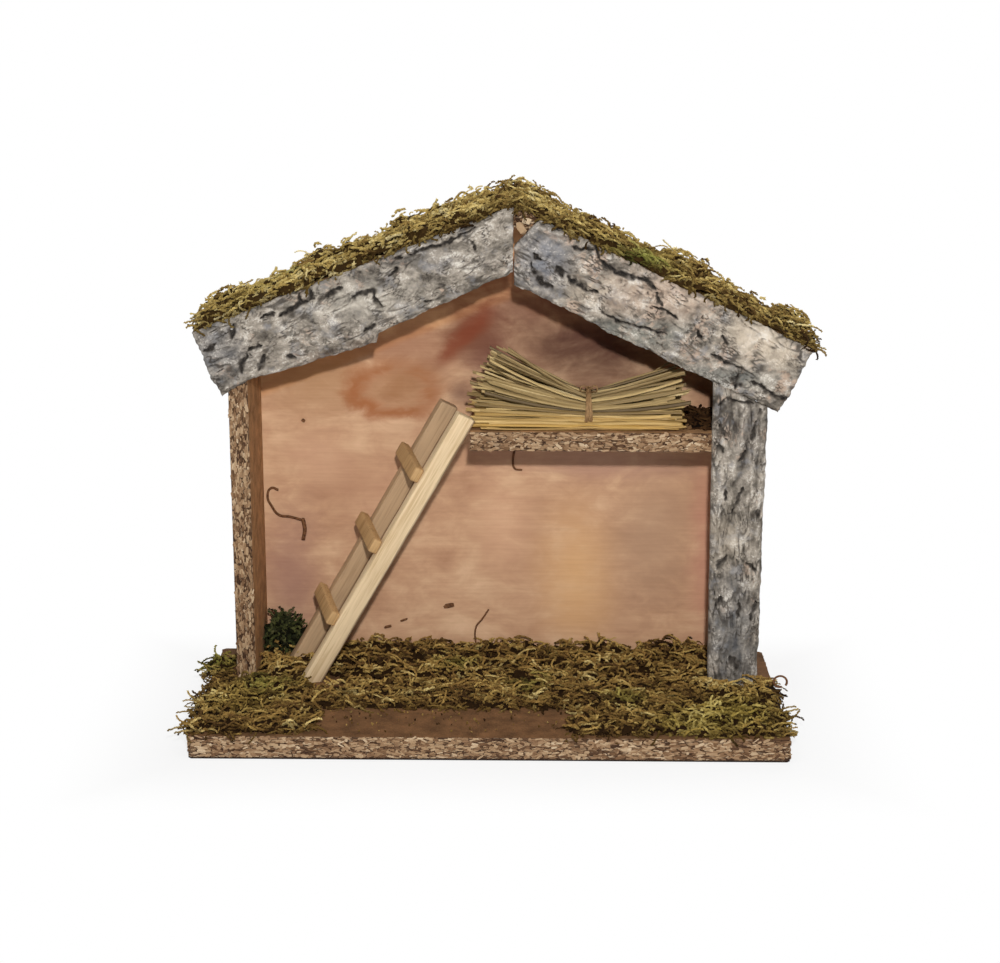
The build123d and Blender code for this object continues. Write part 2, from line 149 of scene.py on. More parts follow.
class Finish:
    """A material with one principled shader, and the nodes that feed it."""

    def __init__(self, name, roughness=0.9, specular=0.25):
        self.material = bpy.data.materials.new(name)
        self.material.use_nodes = True
        self.tree = self.material.node_tree
        self.shader = self.tree.nodes["Principled BSDF"]
        self.shader.inputs["Roughness"].default_value = roughness
        self.shader.inputs["Specular IOR Level"].default_value = specular

    def feed(self, socket, value):
        if isinstance(value, Wire):
            self.tree.links.new(value.socket, socket)
        else:
            socket.default_value = value

    def add(self, kind, settings, sockets, output=0):
        """Any node: its settings first, then the values or links of its inputs."""
        node = self.tree.nodes.new(kind)
        for key, value in settings.items():
            if key == "stops":
                while len(node.color_ramp.elements) < len(value):
                    node.color_ramp.elements.new(1.0)
                for element, (place, colour) in zip(node.color_ramp.elements, value):
                    element.position, element.color = place, colour
            else:
                setattr(node, key, value)
        for key, value in sockets.items():
            self.feed(node.inputs[key], value)
        return Wire(self, node.outputs[output])

    def place(self, scale=(1, 1, 1), rotation=(0, 0, 0), location=(0, 0, 0)):
        """The piece's own coordinates in millimetres, turned and stretched."""
        spot = self.add("ShaderNodeTexCoord", {}, {}, "Object")
        turned = self.add("ShaderNodeMapping", {"vector_type": "POINT"},
                          {"Vector": spot, "Rotation": rotation, "Scale": (1 / MM, 1 / MM, 1 / MM)})
        return self.add("ShaderNodeMapping", {"vector_type": "POINT"},
                        {"Vector": turned, "Location": location, "Scale": scale})

    def cloud(self, size, detail=3.0, warp=0.0, **where):
        """Soft noise from 0 to 1. Size is the width of its lumps in millimetres."""
        return self.add("ShaderNodeTexNoise", {},
                        {"Vector": self.place(**where), "Scale": 1 / size, "Detail": detail, "Roughness": 0.6,
                         "Distortion": warp})

    def cells(self, vector, size, feature="F1", output="Distance"):
        return self.add("ShaderNodeTexVoronoi", {"feature": feature},
                        {"Vector": vector, "Scale": 1 / size}, output)

    def ease(self, value, low, high):
        """0 below low, 1 above high, and a soft step between them."""
        return self.add("ShaderNodeMapRange", {"interpolation_type": "SMOOTHSTEP"},
                        {"Value": value, "From Min": low, "From Max": high})

    def blend(self, share, first, second, how="MIX"):
        return self.add("ShaderNodeMix", {"data_type": "RGBA", "blend_type": how},
                        {0: share, 6: paint(first), 7: paint(second)}, 2)

    def ramp(self, value, *stops):
        return self.add("ShaderNodeValToRGB", {"stops": [(place, paint(colour)) for place, colour in stops]},
                        {"Fac": value})

    def read(self, name):
        """A number that the mesh carries at each point."""
        return self.add("ShaderNodeAttribute", {"attribute_name": name}, {}, "Fac")

    def facing(self):
        """The surface's direction, as x, y and z."""
        normal = self.add("ShaderNodeNewGeometry", {}, {}, "Normal")
        return [self.add("ShaderNodeSeparateXYZ", {}, {0: normal}, axis) for axis in range(3)]

    def axes(self):
        """The place on the piece in millimetres, as x, y and z."""
        return [self.add("ShaderNodeSeparateXYZ", {}, {0: self.place()}, axis) for axis in range(3)]

    def stain(self, x, z, width, height, waver=0.0):
        """A soft oval on the front, 1 in its middle. Waver is noise that makes its edge wander."""
        at_x, _, at_z = self.axes()
        dx, dz = (at_x - x) / width, (at_z - z) / height
        return 1 - self.ease((dx * dx + dz * dz) ** 0.5 + waver, 0.0, 1.0)

    def coat(self, colour, relief=None, depth=0.4, strength=0.6):
        """Feeds the shader. Relief is a height from 0 to 1, and depth its millimetres."""
        self.feed(self.shader.inputs["Base Color"], colour)
        if relief is not None:
            bump = self.add("ShaderNodeBump", {},
                            {"Height": relief, "Distance": depth * MM, "Strength": strength})
            self.feed(self.shader.inputs["Normal"], bump)
        return self.material


print("shader helpers ready")

# %% [markdown]
# ## Floor and light
# The photograph has a pure white ground with a faint shadow at the base. A floor that is only lit
# would need too much light on the object, so to the camera it also glows white, less so close to the
# object, where its own shading carries the shadow. The main light sits just above the camera, which
# the narrow dark bands on the back, right under the bark and the loft, give away. Large soft boxes
# above and behind fill in.

# %% Make the floor
bpy.ops.object.select_all(action="DESELECT")
bpy.ops.mesh.primitive_plane_add(size=40, location=(0, 0, -0.2 * MM))
floor = bpy.context.object
floor.name = "floor"

ground = Finish("white_floor", roughness=1.0, specular=0.0)
ground.shader.inputs["Base Color"].default_value = (0.86, 0.86, 0.86, 1)
near_glow, shadow_reach = 0.78, 70.0
floor_x, floor_y, _ = ground.axes()
away = ground.add("ShaderNodeMath", {"operation": "MAXIMUM"},
                  {0: abs(floor_x) - base_right, 1: abs(floor_y) - base_rear})
path = [ground.add("ShaderNodeLightPath", {}, {}, ray)
        for ray in ("Is Camera Ray", "Is Glossy Ray", "Is Transmission Ray")]
seen = ground.ease(path[0] + path[1] + path[2], 0.0, 1.0)
glow = ground.add("ShaderNodeEmission", {}, {"Color": (1, 1, 1, 1), "Strength": 1.0})
share = seen * (near_glow + ground.ease(away, 0.0, shadow_reach) * (1 - near_glow))
mixed = ground.add("ShaderNodeMixShader", {}, {0: share, 1: Wire(ground, ground.shader.outputs[0]), 2: glow})
ground.tree.links.new(mixed.socket, ground.tree.nodes["Material Output"].inputs["Surface"])
floor.data.materials.append(ground.material)
print("floor", floor.dimensions[:2])

# %% Light the stable
world = bpy.data.worlds.new("studio")
bpy.context.scene.world = world
world.use_nodes = True
sky = world.node_tree
dim, white = sky.nodes["Background"], sky.nodes.new("ShaderNodeBackground")
for background, strength in ((dim, 0.28), (white, 1.0)):
    background.inputs["Color"].default_value = (1, 1, 1, 1)
    background.inputs["Strength"].default_value = strength
rays = sky.nodes.new("ShaderNodeLightPath")
choose = sky.nodes.new("ShaderNodeMixShader")
for place, output in enumerate((rays.outputs["Is Camera Ray"], dim.outputs[0], white.outputs[0])):
    sky.links.new(output, choose.inputs[place])
sky.links.new(choose.outputs[0], sky.nodes["World Output"].inputs["Surface"])


lamp_aim = Vector((0, 0, 0.12))


def soft_box(name, place, size, share):
    """A square lamp aimed at the stable's middle. A share of 1 lights a white card that faces it to white."""
    away = Vector(place) - lamp_aim
    bpy.ops.object.light_add(type="AREA", location=place, rotation=away.to_track_quat("Z", "Y").to_euler())
    lamp = bpy.context.object
    lamp.name = name
    lamp.data.size = size
    lamp.data.energy = share * math.pi ** 2 * away.length_squared


soft_box("camera_lamp", (0.049, -0.999, 0.552), 0.035, 0.76)
soft_box("top_box", (-0.2, -0.5, 2.0), 1.4, 0.2)
soft_box("rear_box", (0.6, 1.6, 1.3), 1.2, 0.22)
bpy.context.scene.view_settings.view_transform = "Standard"

# %% [markdown]
# ## Modelling helpers
# Every piece below starts as a primitive and is shaped by operators. An operator works on whatever is
# selected, so each start clears the selection. Irregular natural surfaces need thousands of small moves
# that no operator makes, so their points are read into an array, moved, and written back.

# %% Helpers for points and pieces
def clear():
    if bpy.context.object and bpy.context.object.mode != "OBJECT":
        bpy.ops.object.mode_set(mode="OBJECT")
    bpy.ops.object.select_all(action="DESELECT")


def points_of(piece):
    """A piece's points in millimetres."""
    flat = np.empty(len(piece.data.vertices) * 3)
    piece.data.vertices.foreach_get("co", flat)
    return flat.reshape(-1, 3) / MM


def move_points(piece, points):
    piece.data.vertices.foreach_set("co", (points * MM).ravel())
    piece.data.update()


def tag_points(piece, **numbers):
    """Gives each point numbers that a material can read, from an array or from one value for all."""
    for name, values in numbers.items():
        full = np.zeros(len(piece.data.vertices), np.float32) + np.asarray(values, np.float32)
        piece.data.attributes.new(name, "FLOAT", "POINT").data.foreach_set("value", full)


def wander(points, size, seed=0.0):
    """Soft noise from about -1 to 1 at each point. Size is the width of its lumps in millimetres."""
    spots = (np.asarray(points) / size + seed).tolist()
    return np.array([noise.noise(spot) for spot in spots])


def flat_points(a, b, seed):
    """Points on a plane, which the seed sets apart from those on other planes."""
    return np.c_[a, b, np.full_like(a, seed)]


def unit(rows):
    """Each row as a direction of length 1."""
    return rows / np.linalg.norm(rows, axis=1)[:, None]


def spin_about(axis, angles):
    """A matrix for each angle, which turns about the axis with that number."""
    second, third = (axis + 1) % 3, (axis + 2) % 3
    turns = np.zeros((len(angles), 3, 3))
    turns[:, axis, axis] = 1
    turns[:, second, second] = turns[:, third, third] = np.cos(angles)
    turns[:, third, second] = np.sin(angles)
    turns[:, second, third] = -np.sin(angles)
    return turns


def grid(columns, rows):
    """A flat grid with sides of 1, and each point's share along its two sides."""
    clear()
    bpy.ops.mesh.primitive_grid_add(x_subdivisions=columns, y_subdivisions=rows, size=1)
    piece = bpy.context.object
    flat = points_of(piece) * MM
    return piece, flat[:, 0] + 0.5, flat[:, 1] + 0.5


def select_only(kind):
    """Leaves nothing selected, with faces or edges to be chosen next."""
    bpy.ops.object.mode_set(mode="EDIT")
    bpy.ops.mesh.select_mode(type=kind)
    bpy.ops.mesh.select_all(action="DESELECT")
    bpy.ops.object.mode_set(mode="OBJECT")


def select_faces(piece, wanted):
    """Leaves only the wanted faces selected, in edit mode."""
    select_only("FACE")
    for polygon in piece.data.polygons:
        polygon.select = wanted(polygon)
    bpy.ops.object.mode_set(mode="EDIT")


def split_along(piece, axis, cuts):
    """Divides the edges that run along most of the piece in the direction of an axis."""
    select_only("EDGE")
    places = points_of(piece)[:, axis]
    for edge in piece.data.edges:
        first, last = edge.vertices
        edge.select = abs(places[first] - places[last]) > 0.6 * np.ptp(places)
    bpy.ops.object.mode_set(mode="EDIT")
    bpy.ops.mesh.subdivide(number_cuts=cuts)
    bpy.ops.object.mode_set(mode="OBJECT")


def thicken(piece, thickness):
    """Gives a sheet some thickness."""
    piece.modifiers.new("thickness", "SOLIDIFY").thickness = thickness
    bpy.ops.object.modifier_apply(modifier="thickness")


def joined(first, *others):
    """Several pieces as one."""
    clear()
    for piece in (first, *others):
        piece.select_set(True)
    bpy.context.view_layer.objects.active = first
    bpy.ops.object.join()
    return first


def outward(piece, smooth=None):
    """Merges doubles, turns all faces outside and shades edges up to an angle in degrees as round."""
    clear()
    piece.select_set(True)
    bpy.context.view_layer.objects.active = piece
    bpy.ops.object.mode_set(mode="EDIT")
    bpy.ops.mesh.select_all(action="SELECT")
    bpy.ops.mesh.remove_doubles(threshold=0.002 * MM)
    bpy.ops.mesh.normals_make_consistent(inside=False)
    bpy.ops.object.mode_set(mode="OBJECT")
    if smooth:
        bpy.ops.object.shade_smooth_by_angle(angle=math.radians(smooth))
    return piece


def settle(piece, name, slot, material, *replaced):
    """Names a finished piece, gives it its finish, hangs it under the root and hides the CAD nodes it
    replaces.
    """
    piece.name = piece.data.name = name
    piece.data.materials.clear()
    piece.data.materials.append(material)
    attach(piece, "root")
    if replaced:
        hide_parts(*replaced)
    corners = np.round([points_of(piece).min(0), points_of(piece).max(0)], 1)
    print(name, "faces", len(piece.data.polygons), "from", corners[0].tolist(), "to", corners[1].tolist())


def dress(material, *names):
    """Gives CAD nodes a finish."""
    for name in names:
        for slot in nodes[name].material_slots:
            slot.material = material


print("modelling helpers ready")

# %% [markdown]
# ## Chipboard
# The boards are chipboard with a brown stain on their faces. Their cut edges are raw: pale flakes of
# wood, one to four millimetres long, with dark gaps of glue between them. A cell pattern that is
# squeezed across the board's thickness gives flakes, and the surface's direction tells edge from face.

# %% Chipboard finish
def chipboard(name, thin, stain):
    """Stained chipboard. Thin is the board's thickness direction as x, y, z, and stain its face colour."""
    wood = Finish(name, roughness=0.85, specular=0.2)
    facing = wood.facing()
    on_face = wood.ease(abs(facing[0] * thin[0] + facing[1] * thin[1] + facing[2] * thin[2]), 0.6, 0.8)
    spot = wood.place(scale=tuple(0.5 + 1.3 * abs(t) for t in thin))
    tone = wood.add("ShaderNodeSeparateXYZ", {}, {0: wood.cells(spot, 1.7, output="Color")}, 0)
    gap = wood.cells(spot, 1.7, feature="DISTANCE_TO_EDGE")
    raw = wood.ramp(tone, (0.0, (60, 40, 26)), (0.22, (104, 76, 52)), (0.45, (138, 106, 78)),
                    (0.7, (164, 134, 102)), (1.0, (186, 160, 130)))
    raw = wood.blend(wood.ease(gap, 0.0, 0.16), (56, 36, 24), raw)
    raw = wood.blend(1 - wood.ease(wood.axes()[2], 0.5, 1.3), raw, (40, 28, 20))
    mottle = wood.cloud(9.0, detail=5.0)
    speck = wood.cloud(1.1, detail=2.0)
    face = wood.ramp(mottle * 0.7 + speck * 0.3, (0.3, scaled(stain, 0.45)), (0.5, stain),
                     (0.68, scaled(stain, 1.5)))
    relief = (1 - on_face) * wood.ease(gap, 0.0, 0.3) + on_face * speck * 0.5
    return wood.coat(wood.blend(on_face, raw, face), relief, depth=0.5, strength=0.8)


def roof_normal(side, pitch):
    """The direction square to a roof slope. Side is -1 for the left slope and 1 for the right one."""
    return side * math.sin(pitch), 0.0, math.cos(pitch)


floor_brown, wall_brown = (112, 80, 52), (168, 127, 87)
for name, thin, stain, boards in (
        ("base", (0, 0, 1), floor_brown, ["base_board"]), ("loft", (0, 0, 1), wall_brown, ["loft_board"]),
        ("wall", (1, 0, 0), wall_brown, ["left_wall", "right_wall"]),
        ("left_roof", roof_normal(-1, left_pitch), wall_brown, ["left_roof_board"]),
        ("right_roof", roof_normal(1, right_pitch), wall_brown, ["right_roof_board"])):
    dress(chipboard(name + "_chipboard", thin, stain), *boards)
    print("chipboard on", boards)

# %% [markdown]
# ## Flakes on the raw edges
# Colour alone leaves a sawn edge too smooth. Each raw edge that shows gets a layer of real flakes: a
# cube with bevelled, shaken corners, modelled three times and laid by the hundred with its long side
# along the board. Copies go straight into one mesh, because a separate object for each would be slow.

# %% Model three flakes
def shape_of(piece):
    """A small model as points in millimetres and triangles, and then it is removed."""
    points = points_of(piece)
    piece.data.calc_loop_triangles()
    triangles = np.array([t.vertices[:] for t in piece.data.loop_triangles])
    bpy.data.objects.remove(piece)
    return points, triangles


def model_flake(seed):
    clear()
    bpy.ops.mesh.primitive_cube_add(size=1 * MM)
    bpy.ops.object.mode_set(mode="EDIT")
    bpy.ops.mesh.bevel(offset=0.16 * MM, segments=1, affect="EDGES")
    bpy.ops.transform.vertex_random(offset=0.16 * MM, seed=seed)
    bpy.ops.object.mode_set(mode="OBJECT")
    return shape_of(bpy.context.object)


flakes = [model_flake(seed) for seed in (1, 2, 3)]
print("flake triangles", [len(f[1]) for f in flakes])


# %% Lay copies in one mesh
def copies(triangles, size, count, start=0):
    """The triangles of some copies of a shape. Size is how many points it has, start the first's number."""
    starts = start + np.arange(count) * size
    return (triangles[None] + starts[:, None, None]).reshape(-1, 3)


def new_piece(points, triangles):
    """An object from points in millimetres and triangles."""
    mesh = bpy.data.meshes.new("laid")
    mesh.from_pydata((points * MM).tolist(), [], triangles.tolist())
    piece = bpy.data.objects.new("laid", mesh)
    bpy.context.scene.collection.objects.link(piece)
    return piece


def lay(shapes, pick, turns, places):
    """One mesh of many copies: pick says which shape, turns are 3 x 3 matrices with the size in them, and
    places are in millimetres. Also says which copy each point belongs to, and its height on its shape."""
    points, faces, owners, heights, count = [], [], [], [], 0
    for kind, (spots, triangles) in enumerate(shapes):
        chosen = np.flatnonzero(pick == kind)
        moved = np.einsum("nij,vj->nvi", turns[chosen], spots) + places[chosen][:, None]
        points.append(moved.reshape(-1, 3))
        faces.append(copies(triangles, len(spots), len(chosen), count))
        owners.append(np.repeat(chosen, len(spots)))
        heights.append(np.tile(spots[:, 2] / max(spots[:, 2].max(), 1e-6), len(chosen)))
        count += len(chosen) * len(spots)
    piece = new_piece(np.concatenate(points), np.concatenate(faces))
    return piece, np.concatenate(owners), np.clip(np.concatenate(heights), 0, 1)


print("laying helpers ready")

# %% Lay the flakes
splinter = Finish("raw_flakes", roughness=0.8, specular=0.25)
flake_grain = splinter.cloud(0.7, scale=(0.5, 2, 2))
flake_colour = splinter.ramp(
    splinter.read("tone") * 0.75 + flake_grain * 0.25, (0.1, (72, 48, 31)), (0.3, (112, 82, 56)),
    (0.5, (144, 114, 84)), (0.72, (168, 140, 108)), (0.95, (202, 180, 150)))
flake_material = splinter.coat(flake_colour, flake_grain, depth=0.2, strength=0.5)


def flake_edge(name, corner, along, across, out, length, width, per_mm, seed):
    """Flakes on a flat edge, from its corner over its length and width, standing a little out of it."""
    rng = np.random.default_rng(seed)
    count = int(length * width * per_mm)
    axes = np.array([along, across, out], float).T
    spots = np.c_[rng.uniform(0.6, length - 0.6, count), rng.uniform(0.4, width - 0.4, count),
                  rng.uniform(-0.25, 0.12, count)]
    spin = spin_about(2, rng.normal(0, 0.28, count))
    size = np.c_[rng.uniform(1.2, 4.4, count), rng.uniform(0.5, 1.5, count), rng.uniform(0.35, 0.8, count)]
    turns = axes @ spin * size[:, None, :]
    piece, owner, _ = lay(flakes, rng.integers(0, 3, count), turns, np.array(corner) + spots @ axes.T)
    move_points(piece, np.maximum(points_of(piece), (-math.inf, -math.inf, 0)))
    drift = 0.35 * wander(spots, 9.0, seed)
    tag_points(piece, tone=np.clip(rng.beta(2.0, 1.7, count) + drift, 0, 1)[owner])
    settle(piece, name, "chipboard", flake_material)


right, rear, up = np.eye(3)
low = 1.1
base_high, base_long, base_deep = base_top - low, base_right - base_left, base_rear - base_front
loft_long, board, wall_long = loft_right - loft_left, loft_top - loft_under, 186
for name, corner, along, across, out, length, width, per_mm, seed in (
        ("base_front", (base_left, base_front, low), right, up, -rear, base_long, base_high, 0.34, 11),
        ("base_left", (base_left, base_rear, low), -rear, up, -right, base_deep, base_high, 0.32, 12),
        ("base_right", (base_right, base_front, low), rear, up, right, base_deep, base_high, 0.32, 13),
        ("loft_front", (loft_left, wall_front, loft_under), right, up, -rear, loft_long, board, 0.36, 14),
        ("left_wall", (shed_left, wall_front, base_top), up, -right, -rear, wall_long, board, 0.36, 15)):
    flake_edge(name + "_flakes", corner, along, across, out, length, width, per_mm, seed)

# %% [markdown]
# ## Back panel
# The back is a thin sheet with a peach wash: fine grain from side to side, pink and mauve patches where
# the wash ran, an orange swirl at the upper left, dark patches of painted shade near the ridge and the
# sheaf, and a warm painted shade in the band under the roof. The paint is kept in the material, placed
# in millimetres on the panel. Its rear face is plain raw board.

# %% Back panel wash
panel = Finish("peach_wash", roughness=0.75, specular=0.2)
grain = panel.cloud(1.3, scale=(0.05, 1, 1.0))
broad = panel.cloud(34.0, detail=5.0, warp=0.8, scale=(0.6, 1, 1.2))
small = panel.cloud(11.0, detail=5.0, warp=0.5, scale=(0.6, 1, 1.0))
wash = panel.ramp(broad * 0.55 + small * 0.45, (0.32, (178, 134, 104)), (0.5, (204, 162, 128)),
                  (0.66, (224, 186, 150)))
edge = (broad - 0.5) * 0.9 + (small - 0.5) * 0.5
# Most ovals are patches of the wash. Three are painted shade: below the ridge at -30, 222, between the
# ladder's top and the sheaf at -17, 158, and beside the litter right of the sheaf at 114, 168.
for x, z, width, height, amount, tint in (
        (46, 55, 30, 60, 0.7, (228, 180, 126)), (88, 80, 34, 60, 0.6, (184, 150, 122)),
        (118, 70, 14, 80, 0.6, (206, 146, 124)), (60, 122, 80, 18, 0.6, (178, 138, 122)),
        (6, 85, 22, 40, 0.5, (224, 178, 144)), (62, 186, 84, 44, 1.0, (98, 64, 51)),
        (-112, 56, 26, 60, 0.75, (170, 128, 112)), (-30, 222, 90, 26, 0.85, (138, 86, 62)),
        (10, 150, 26, 50, 0.4, (192, 142, 118)), (-4, 187, 20, 36, 0.8, (122, 76, 64)),
        (-95, 165, 44, 32, 0.85, (184, 142, 104)), (-96, 122, 30, 22, 0.6, (214, 170, 138)),
        (-60, 100, 30, 30, 0.5, (206, 160, 128)), (-76, 180, 36, 12, 0.6, (184, 134, 94)),
        (20, 208, 30, 18, 0.8, (118, 76, 62)), (-50, 161, 30, 20, 0.85, (170, 122, 84)),
        (-50, 184, 44, 14, 0.8, (172, 126, 98)), (-12, 194, 26, 18, 0.9, (126, 78, 56)),
        (-17, 158, 12, 10, 0.6, (104, 66, 58)), (114, 168, 16, 22, 0.6, (120, 80, 62))):
    wash = panel.blend(panel.stain(x, z, width, height, edge) * amount, wash, tint)
print("panel nodes", len(panel.tree.nodes))

# %% Swirl, streak, grain and painted shade under the roof
panel_x, _, panel_z = panel.axes()
swirl_x, swirl_z, swirl_wide, swirl_high = -52, 160, 23.5, 14.5
ring_x, ring_z = (panel_x - swirl_x) / swirl_wide, (panel_z - swirl_z) / swirl_high
ring = abs((ring_x * ring_x + ring_z * ring_z) ** 0.5 + (small - 0.5) * 0.9 + (broad - 0.5) * 0.5 - 0.92)
swirl = (1 - panel.ease(ring, 0.0, 0.5)) * panel.ease(small - ring_x * 0.15 - ring_z * 0.1, 0.05, 0.7)
wash = panel.blend(swirl * 0.9, wash, (166, 102, 60))

streak_x, streak_z, streak_lean = -28, 176, math.radians(46.2)
aside, above = panel_x - streak_x, panel_z - streak_z
along = aside * math.cos(streak_lean) + above * math.sin(streak_lean)
off = abs(above * math.cos(streak_lean) - aside * math.sin(streak_lean) + (small - 0.5) * 12)
streak = (1 - panel.ease(off, 0.5, 7.5)) * panel.ease(along, -8.0, 6.0) * (1 - panel.ease(along, 30.0, 46.0))
wash = panel.blend(streak * 0.75, wash, (134, 64, 38))
wash = panel.blend((grain - 0.5) * 0.9 + 0.5, wash, panel.blend(1.0, wash, (0.8, 0.76, 0.72, 1), "MULTIPLY"))

slopes = [(ridge_z - panel_z) * math.cos(pitch) - (panel_x - ridge_x) * side * math.sin(pitch)
          for side, pitch in ((-1, left_pitch), (1, right_pitch))]
under_roof = panel.add("ShaderNodeMath", {"operation": "MINIMUM"}, {0: slopes[0], 1: slopes[1]})
# Painted shade: a warm, darker tint over the band of the panel that the roof's shadow covers.
painted_roof_shade = (1 - panel.ease(under_roof + (small - 0.5) * 2.5, 50.5, 54.6)) * 0.8
wash = panel.blend(painted_roof_shade, wash, panel.blend(1.0, wash, (1.0, 0.84, 0.64, 1), "MULTIPLY"))
rear_face = panel.ease(panel.facing()[1], 0.4, 0.6)
bare = panel.ramp(panel.cloud(2.2, detail=5.0, scale=(0.08, 1, 1)),
                  (0.3, (150, 112, 78)), (0.55, (186, 148, 108)), (0.8, (204, 170, 130)))
dress(panel.coat(panel.blend(rear_face, wash, bare), grain, depth=0.15, strength=0.35), "back_panel")
print("panel nodes with its details", len(panel.tree.nodes))

# %% [markdown]
# ## Bark
# The strips on the roof edges and the right wall are old bark: a lumpy grey crust with fine furrows along
# it and some wide dark cracks. Sculpting would do, but a script can say more exactly where the cracks are.
# A fine grid gets thickness from Solidify, and its front is then pushed in and out: a crown over the
# width, lumps, furrows and cracks. How deep each is stays on the mesh as a number for the colour.

# %% Bark relief
def crack_field(s, t, cracks, seed):
    """How far each point is down a crack, 0 to 1. A crack is a width and the points that it runs through,
    and it tapers to its ends. The points are shaken first, so that a straight line comes out jagged."""
    flat = flat_points(s, t, seed)
    s = s + 1.1 * wander(flat, 4.0, 1.1) + 0.7 * wander(flat, 1.5, 2.1)
    t = t + 1.0 * wander(flat, 4.0, 3.1) + 0.7 * wander(flat, 1.5, 4.1)
    swing = np.clip(1.0 + 1.0 * wander(flat, 3.0, 5.1), 0.35, 1.7)
    deep = np.zeros_like(s)
    for width, *line in cracks:
        for i, ((s0, t0), (s1, t1)) in enumerate(zip(line, line[1:])):
            ds, dt = s1 - s0, t1 - t0
            share = np.clip(((s - s0) * ds + (t - t0) * dt) / (ds * ds + dt * dt), 0, 1)
            gap = np.hypot(s - s0 - share * ds, t - t0 - share * dt)
            taper = 1.2 - 0.8 * np.abs(2 * (i + share) / (len(line) - 1) - 1) ** 3
            deep = np.maximum(deep, np.exp(-np.clip(gap / (width * swing * taper), 0, 9) ** 2))
    return deep * np.clip(0.95 + 0.6 * wander(flat, 3.0, 6.1), 0.5, 1)


def furrow_field(s, t, seed):
    """Fine furrows along the strip, 0 to 1, where long drawn noise passes through zero."""
    flat = flat_points(s, t, seed)
    total = np.zeros_like(s)
    for long, wide, thin, size in ((4.5, 4.2, 0.1, 12.0), (3.2, 2.4, 0.13, 8.0), (2.0, 1.4, 0.16, 6.0)):
        line = np.exp(-(wander(flat_points(s / long, t, seed), wide, size) / thin) ** 2)
        total = np.maximum(total, line * np.clip(0.45 + 1.5 * wander(flat, size, size + 3.3), 0, 1))
    return total


strip_width, strip_length = 36.0, 150.0


def bark_strip(columns, rows, outline, cracks, seed):
    """A strip of bark against the boards' front edges. Outline turns shares along and across the strip into
    s and t in millimetres and into x and z."""
    piece, u, v = grid(columns, rows)
    thicken(piece, 1.0)
    s, t, x, z = outline(u, v)
    flat = flat_points(s, t, seed)
    drawn = flat_points(s / 2.0, t, seed)
    crown = 5.2 + 2.3 * (1 - (2 * v - 1) ** 2)
    lumps = 1.3 * wander(drawn, 6.0, 1.7) + 0.9 * wander(drawn, 2.6, 4.1) + 0.5 * wander(flat, 1.3, 9.2)
    crack, furrow = crack_field(s, t, cracks, seed), furrow_field(s, t, seed)
    rim = np.minimum(np.minimum(v, 1 - v) * strip_width, np.minimum(u, 1 - u) * strip_length)
    roll = 1.8 * np.exp(-np.clip(rim, 0, None) / 1.2)
    rise = crown + lumps - 1.1 * furrow - 2.4 * crack - roll
    front = np.c_[x, wall_front - np.maximum(rise, 1.0), z]
    move_points(piece, np.concatenate([front, np.c_[x, np.full_like(x, wall_front), z]]))
    high = np.clip(0.5 + lumps / 3.4, 0, 1)
    tag_points(piece, crack=np.tile(crack, 2), furrow=np.tile(furrow, 2), rise=np.tile(high, 2))
    return outward(piece, smooth=65)


print("bark helpers ready")

# %% [markdown]
# ## Bark colour
# Weathered bark is light grey with a blue cast here and there, beige and pink where flakes came off, and
# almost black in the cracks, partly its own dark and partly painted shade. Raised lumps get a painted
# highlight and the hollows painted shade. Streaks run along the strip, so each strip turns its pattern to
# its own direction.

